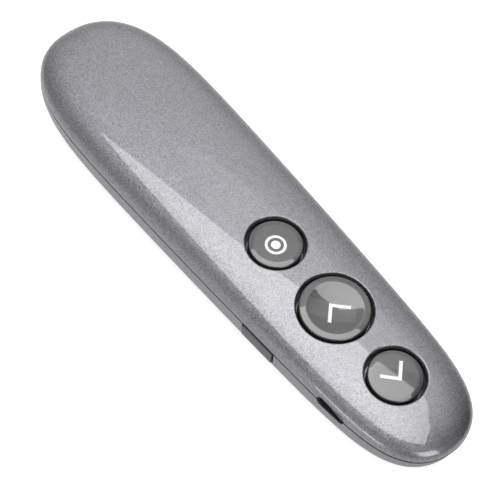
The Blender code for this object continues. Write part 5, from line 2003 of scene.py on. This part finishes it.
@dataclass(frozen=True)
class Lamp:
    """One soft lamp. It hangs level and shines down, unless it has a target.

    Its outline is a rectangle or, with corners given round it from its middle, a convex shape inside that.
    """

    name: str
    place: Triple
    size: Pair
    radiance: float
    turn: float = 0.0
    target: Triple | None = None
    corners: tuple[Pair, ...] = ()
    fade: float = 0.006

    def build(self) -> None:
        """Hang the lamp."""
        deselect()
        bpy.ops.object.light_add(type="AREA", location=self.place)
        lamp = named(self.name)
        lamp.data.shape = "RECTANGLE"
        lamp.data.size, lamp.data.size_y = self.size
        lamp.data.energy = self.radiance * math.pi * self.size[0] * self.size[1]
        away = Vector(UP) if self.target is None else Vector(self.place) - Vector(self.target)
        turn = Matrix.Rotation(self.turn, 3, "Z").to_quaternion()
        lamp.rotation_mode = "QUATERNION"
        lamp.rotation_quaternion = away.to_track_quat("Z", "Y") @ turn
        if self.corners:
            self.cut(lamp.data)

    def cut(self, light: bpy.types.Light) -> None:
        """Let the lamp glow only inside its corners, which run anticlockwise seen from above.

        Args:
            light: The lamp's data.
        """
        light.use_nodes = True
        tree = Tree(light.node_tree)
        place = tree.add("NewGeometry").outputs["Parametric"]
        inside = None
        for (x0, y0), (x1, y1) in zip(self.corners, (*self.corners[1:], self.corners[0])):
            length = math.hypot(x1 - x0, y1 - y0)
            inward = (y0 - y1) / length, (x1 - x0) / length
            edge = inward[0] * (x0 + self.size[0] / 2) + inward[1] * (y0 + self.size[1] / 2)
            way = (inward[0] * self.size[0], inward[1] * self.size[1], 0.0)
            depth = tree.vector("DOT_PRODUCT", {0: place, 1: way})
            share = tree.remap(depth, edge, edge + self.fade, soft=True)
            inside = share if inside is None else tree.maths("MULTIPLY", inside, share)
        glow = tree.add("Emission", {"Strength": inside})
        tree.add("OutputLight", {"Surface": glow.outputs[0]})


@dataclass(frozen=True)
class Glow:
    """A soft bright part of the surroundings, by azimuth from the nose and elevation in degrees."""

    azimuth: float
    elevation: float
    strength: float
    reach: Pair = (0.35, 0.95)

    @property
    def way(self) -> Triple:
        """Direction of its middle."""
        turn, rise = math.radians(self.azimuth), math.radians(self.elevation)
        return math.sin(turn) * math.cos(rise), math.cos(turn) * math.cos(rise), math.sin(rise)


@dataclass(frozen=True)
class Studio:
    """The camera, the lamps, the floor and the soft surroundings."""

    azimuth: float = math.radians(-47.157)
    elevation: float = math.radians(57.017)
    roll: float = math.radians(9.330)
    distance: float = 0.39271
    focal_pixels: float = 1703.8
    frame_pixels: float = 500.0
    centre_pixels: Pair = (247.87, 229.54)
    sensor: float = 36.0
    clip: Pair = (0.01, 20.0)
    floor_size: float = 8.0
    floor_tone_scale: float = 3.0
    floor_tones: tuple[Triple, Triple] = ((0.60, 0.60, 0.60), (0.62, 0.62, 0.62))
    floor_glow: float = 0.78
    mirrored_glow: float = 0.20
    surround: float = 0.05
    glows: tuple[Glow, ...] = (
        Glow(44.0, 50.0, 0.65, (0.78, 0.99)), Glow(45.0, 8.0, 0.75), Glow(300.0, 35.0, 0.50),
        Glow(270.0, 8.0, 0.12), Glow(225.0, 8.0, 0.18))
    lamps: tuple[Lamp, ...] = (
        Lamp("main_softbox", (0.034, 0.058, 0.61), (0.614, 0.490), 2.95, math.radians(135), corners=(
            (-0.307, -0.185), (0.017, -0.245), (0.307, -0.198), (0.307, 0.015),
            (0.227, 0.145), (0.077, 0.245), (-0.123, 0.200), (-0.307, 0.141))),
        Lamp("far_panel", (0.346, 0.169, 0.64), (0.350, 0.194), 0.5, math.radians(-45)),
        Lamp("rear_softbox", (-0.05, -0.65, 0.40), (0.36, 0.38), 3.4, 0.0, (0.0, -0.05, 0.01)),
        Lamp("left_strip", (-0.61, -0.085, 0.075), (0.32, 0.075), 5.2, 0.0, (-0.013, -0.054, 0.013)),
    )

    def camera(self) -> None:
        """Set the camera at the photograph's viewing angle."""
        target = Vector((0.0, 0.0, FORM.parting_z))
        back = Vector((math.sin(self.azimuth) * math.cos(self.elevation),
                       -math.cos(self.azimuth) * math.cos(self.elevation), math.sin(self.elevation)))
        right = Vector(UP).cross(back).normalized()
        up = back.cross(right)
        level = right * math.cos(self.roll) + up * math.sin(self.roll)
        upright = up * math.cos(self.roll) - right * math.sin(self.roll)
        deselect()
        bpy.ops.object.camera_add(location=(0.0, 0.0, 0.0))
        camera = named("photo_camera")
        place = target + back * self.distance
        camera.matrix_world = Matrix((
            (level.x, upright.x, back.x, place.x), (level.y, upright.y, back.y, place.y),
            (level.z, upright.z, back.z, place.z), (0.0, 0.0, 0.0, 1.0)))
        camera.data.sensor_width = self.sensor
        camera.data.lens = self.focal_pixels / self.frame_pixels * self.sensor
        middle = self.frame_pixels / 2
        camera.data.shift_x = (middle - self.centre_pixels[0]) / self.frame_pixels
        camera.data.shift_y = (self.centre_pixels[1] - middle) / self.frame_pixels
        camera.data.clip_start, camera.data.clip_end = self.clip
        bpy.context.scene.camera = camera

    def floor(self) -> None:
        """Lay a wide pale floor that keeps the object's shadow."""
        deselect()
        bpy.ops.mesh.primitive_plane_add(size=self.floor_size, location=(0.0, 0.0, 0.0))
        floor = named("floor")
        material = bpy.data.materials.new("pale_floor")
        material.use_nodes = True
        tree = Tree(material.node_tree)
        tone = tree.noise(tree.add("TexCoord").outputs["Object"], self.floor_tone_scale)
        matt = tree.add("BsdfDiffuse", {"Color": tree.blend(tone, *self.floor_tones)})
        rays = tree.add("LightPath").outputs
        mirrored = tree.maths("MAXIMUM", rays["Is Glossy Ray"], rays["Is Transmission Ray"])
        seen = tree.weigh(rays["Is Camera Ray"], self.floor_glow, mirrored, self.mirrored_glow)
        glow = tree.add("Emission", {"Color": WHITE, "Strength": seen})
        both = tree.add("AddShader", {0: matt.outputs[0], 1: glow.outputs[0]})
        tree.add("OutputMaterial", {"Surface": both.outputs[0]})
        floor.data.materials.append(material)

    def world(self) -> None:
        """Fill the surroundings with a dim light and its soft glows, which the camera sees as white."""
        world = bpy.data.worlds.new("surroundings")
        bpy.context.scene.world = world
        world.use_nodes = True
        tree = Tree(world.node_tree)
        way = tree.add("TexCoord").outputs["Generated"]
        level: object = self.surround
        for glow in self.glows:
            nearness = tree.vector("DOT_PRODUCT", {0: way, 1: glow.way})
            share = tree.remap(nearness, *glow.reach, 0.0, glow.strength, soft=True)
            level = tree.maths("ADD", share, level)
        light = tree.add("Background", {"Strength": level})
        white = tree.add("Background", {"Color": WHITE})
        seen = tree.add("LightPath").outputs["Is Camera Ray"]
        mixed = tree.add("MixShader", {0: seen, 1: light.outputs[0], 2: white.outputs[0]})
        tree.add("OutputWorld", {"Surface": mixed.outputs[0]})

    def build(self) -> None:
        """Set up the whole studio."""
        bpy.context.scene.view_settings.view_transform = "Standard"
        self.camera()
        self.floor()
        self.world()
        for lamp in self.lamps:
            lamp.build()


def main() -> None:
    """Build the studio and the pieces in order, logging how many imported nodes are dressed and each new
    piece's faces.
    """
    logging.basicConfig(level=logging.INFO, format="%(name)s %(message)s")
    Studio().build()
    LOG.info("%d packed nodes dressed", BOOK.dress_nodes())
    casing = Casing()
    casing.build()
    for piece in (*BUTTONS, PowerKey(), ChargingPort(), LaserWindow()):
        piece.build()
    Screws().build(casing.screw_places)
    Receiver().build()
    deselect()


if __name__ == "__main__":
    main()
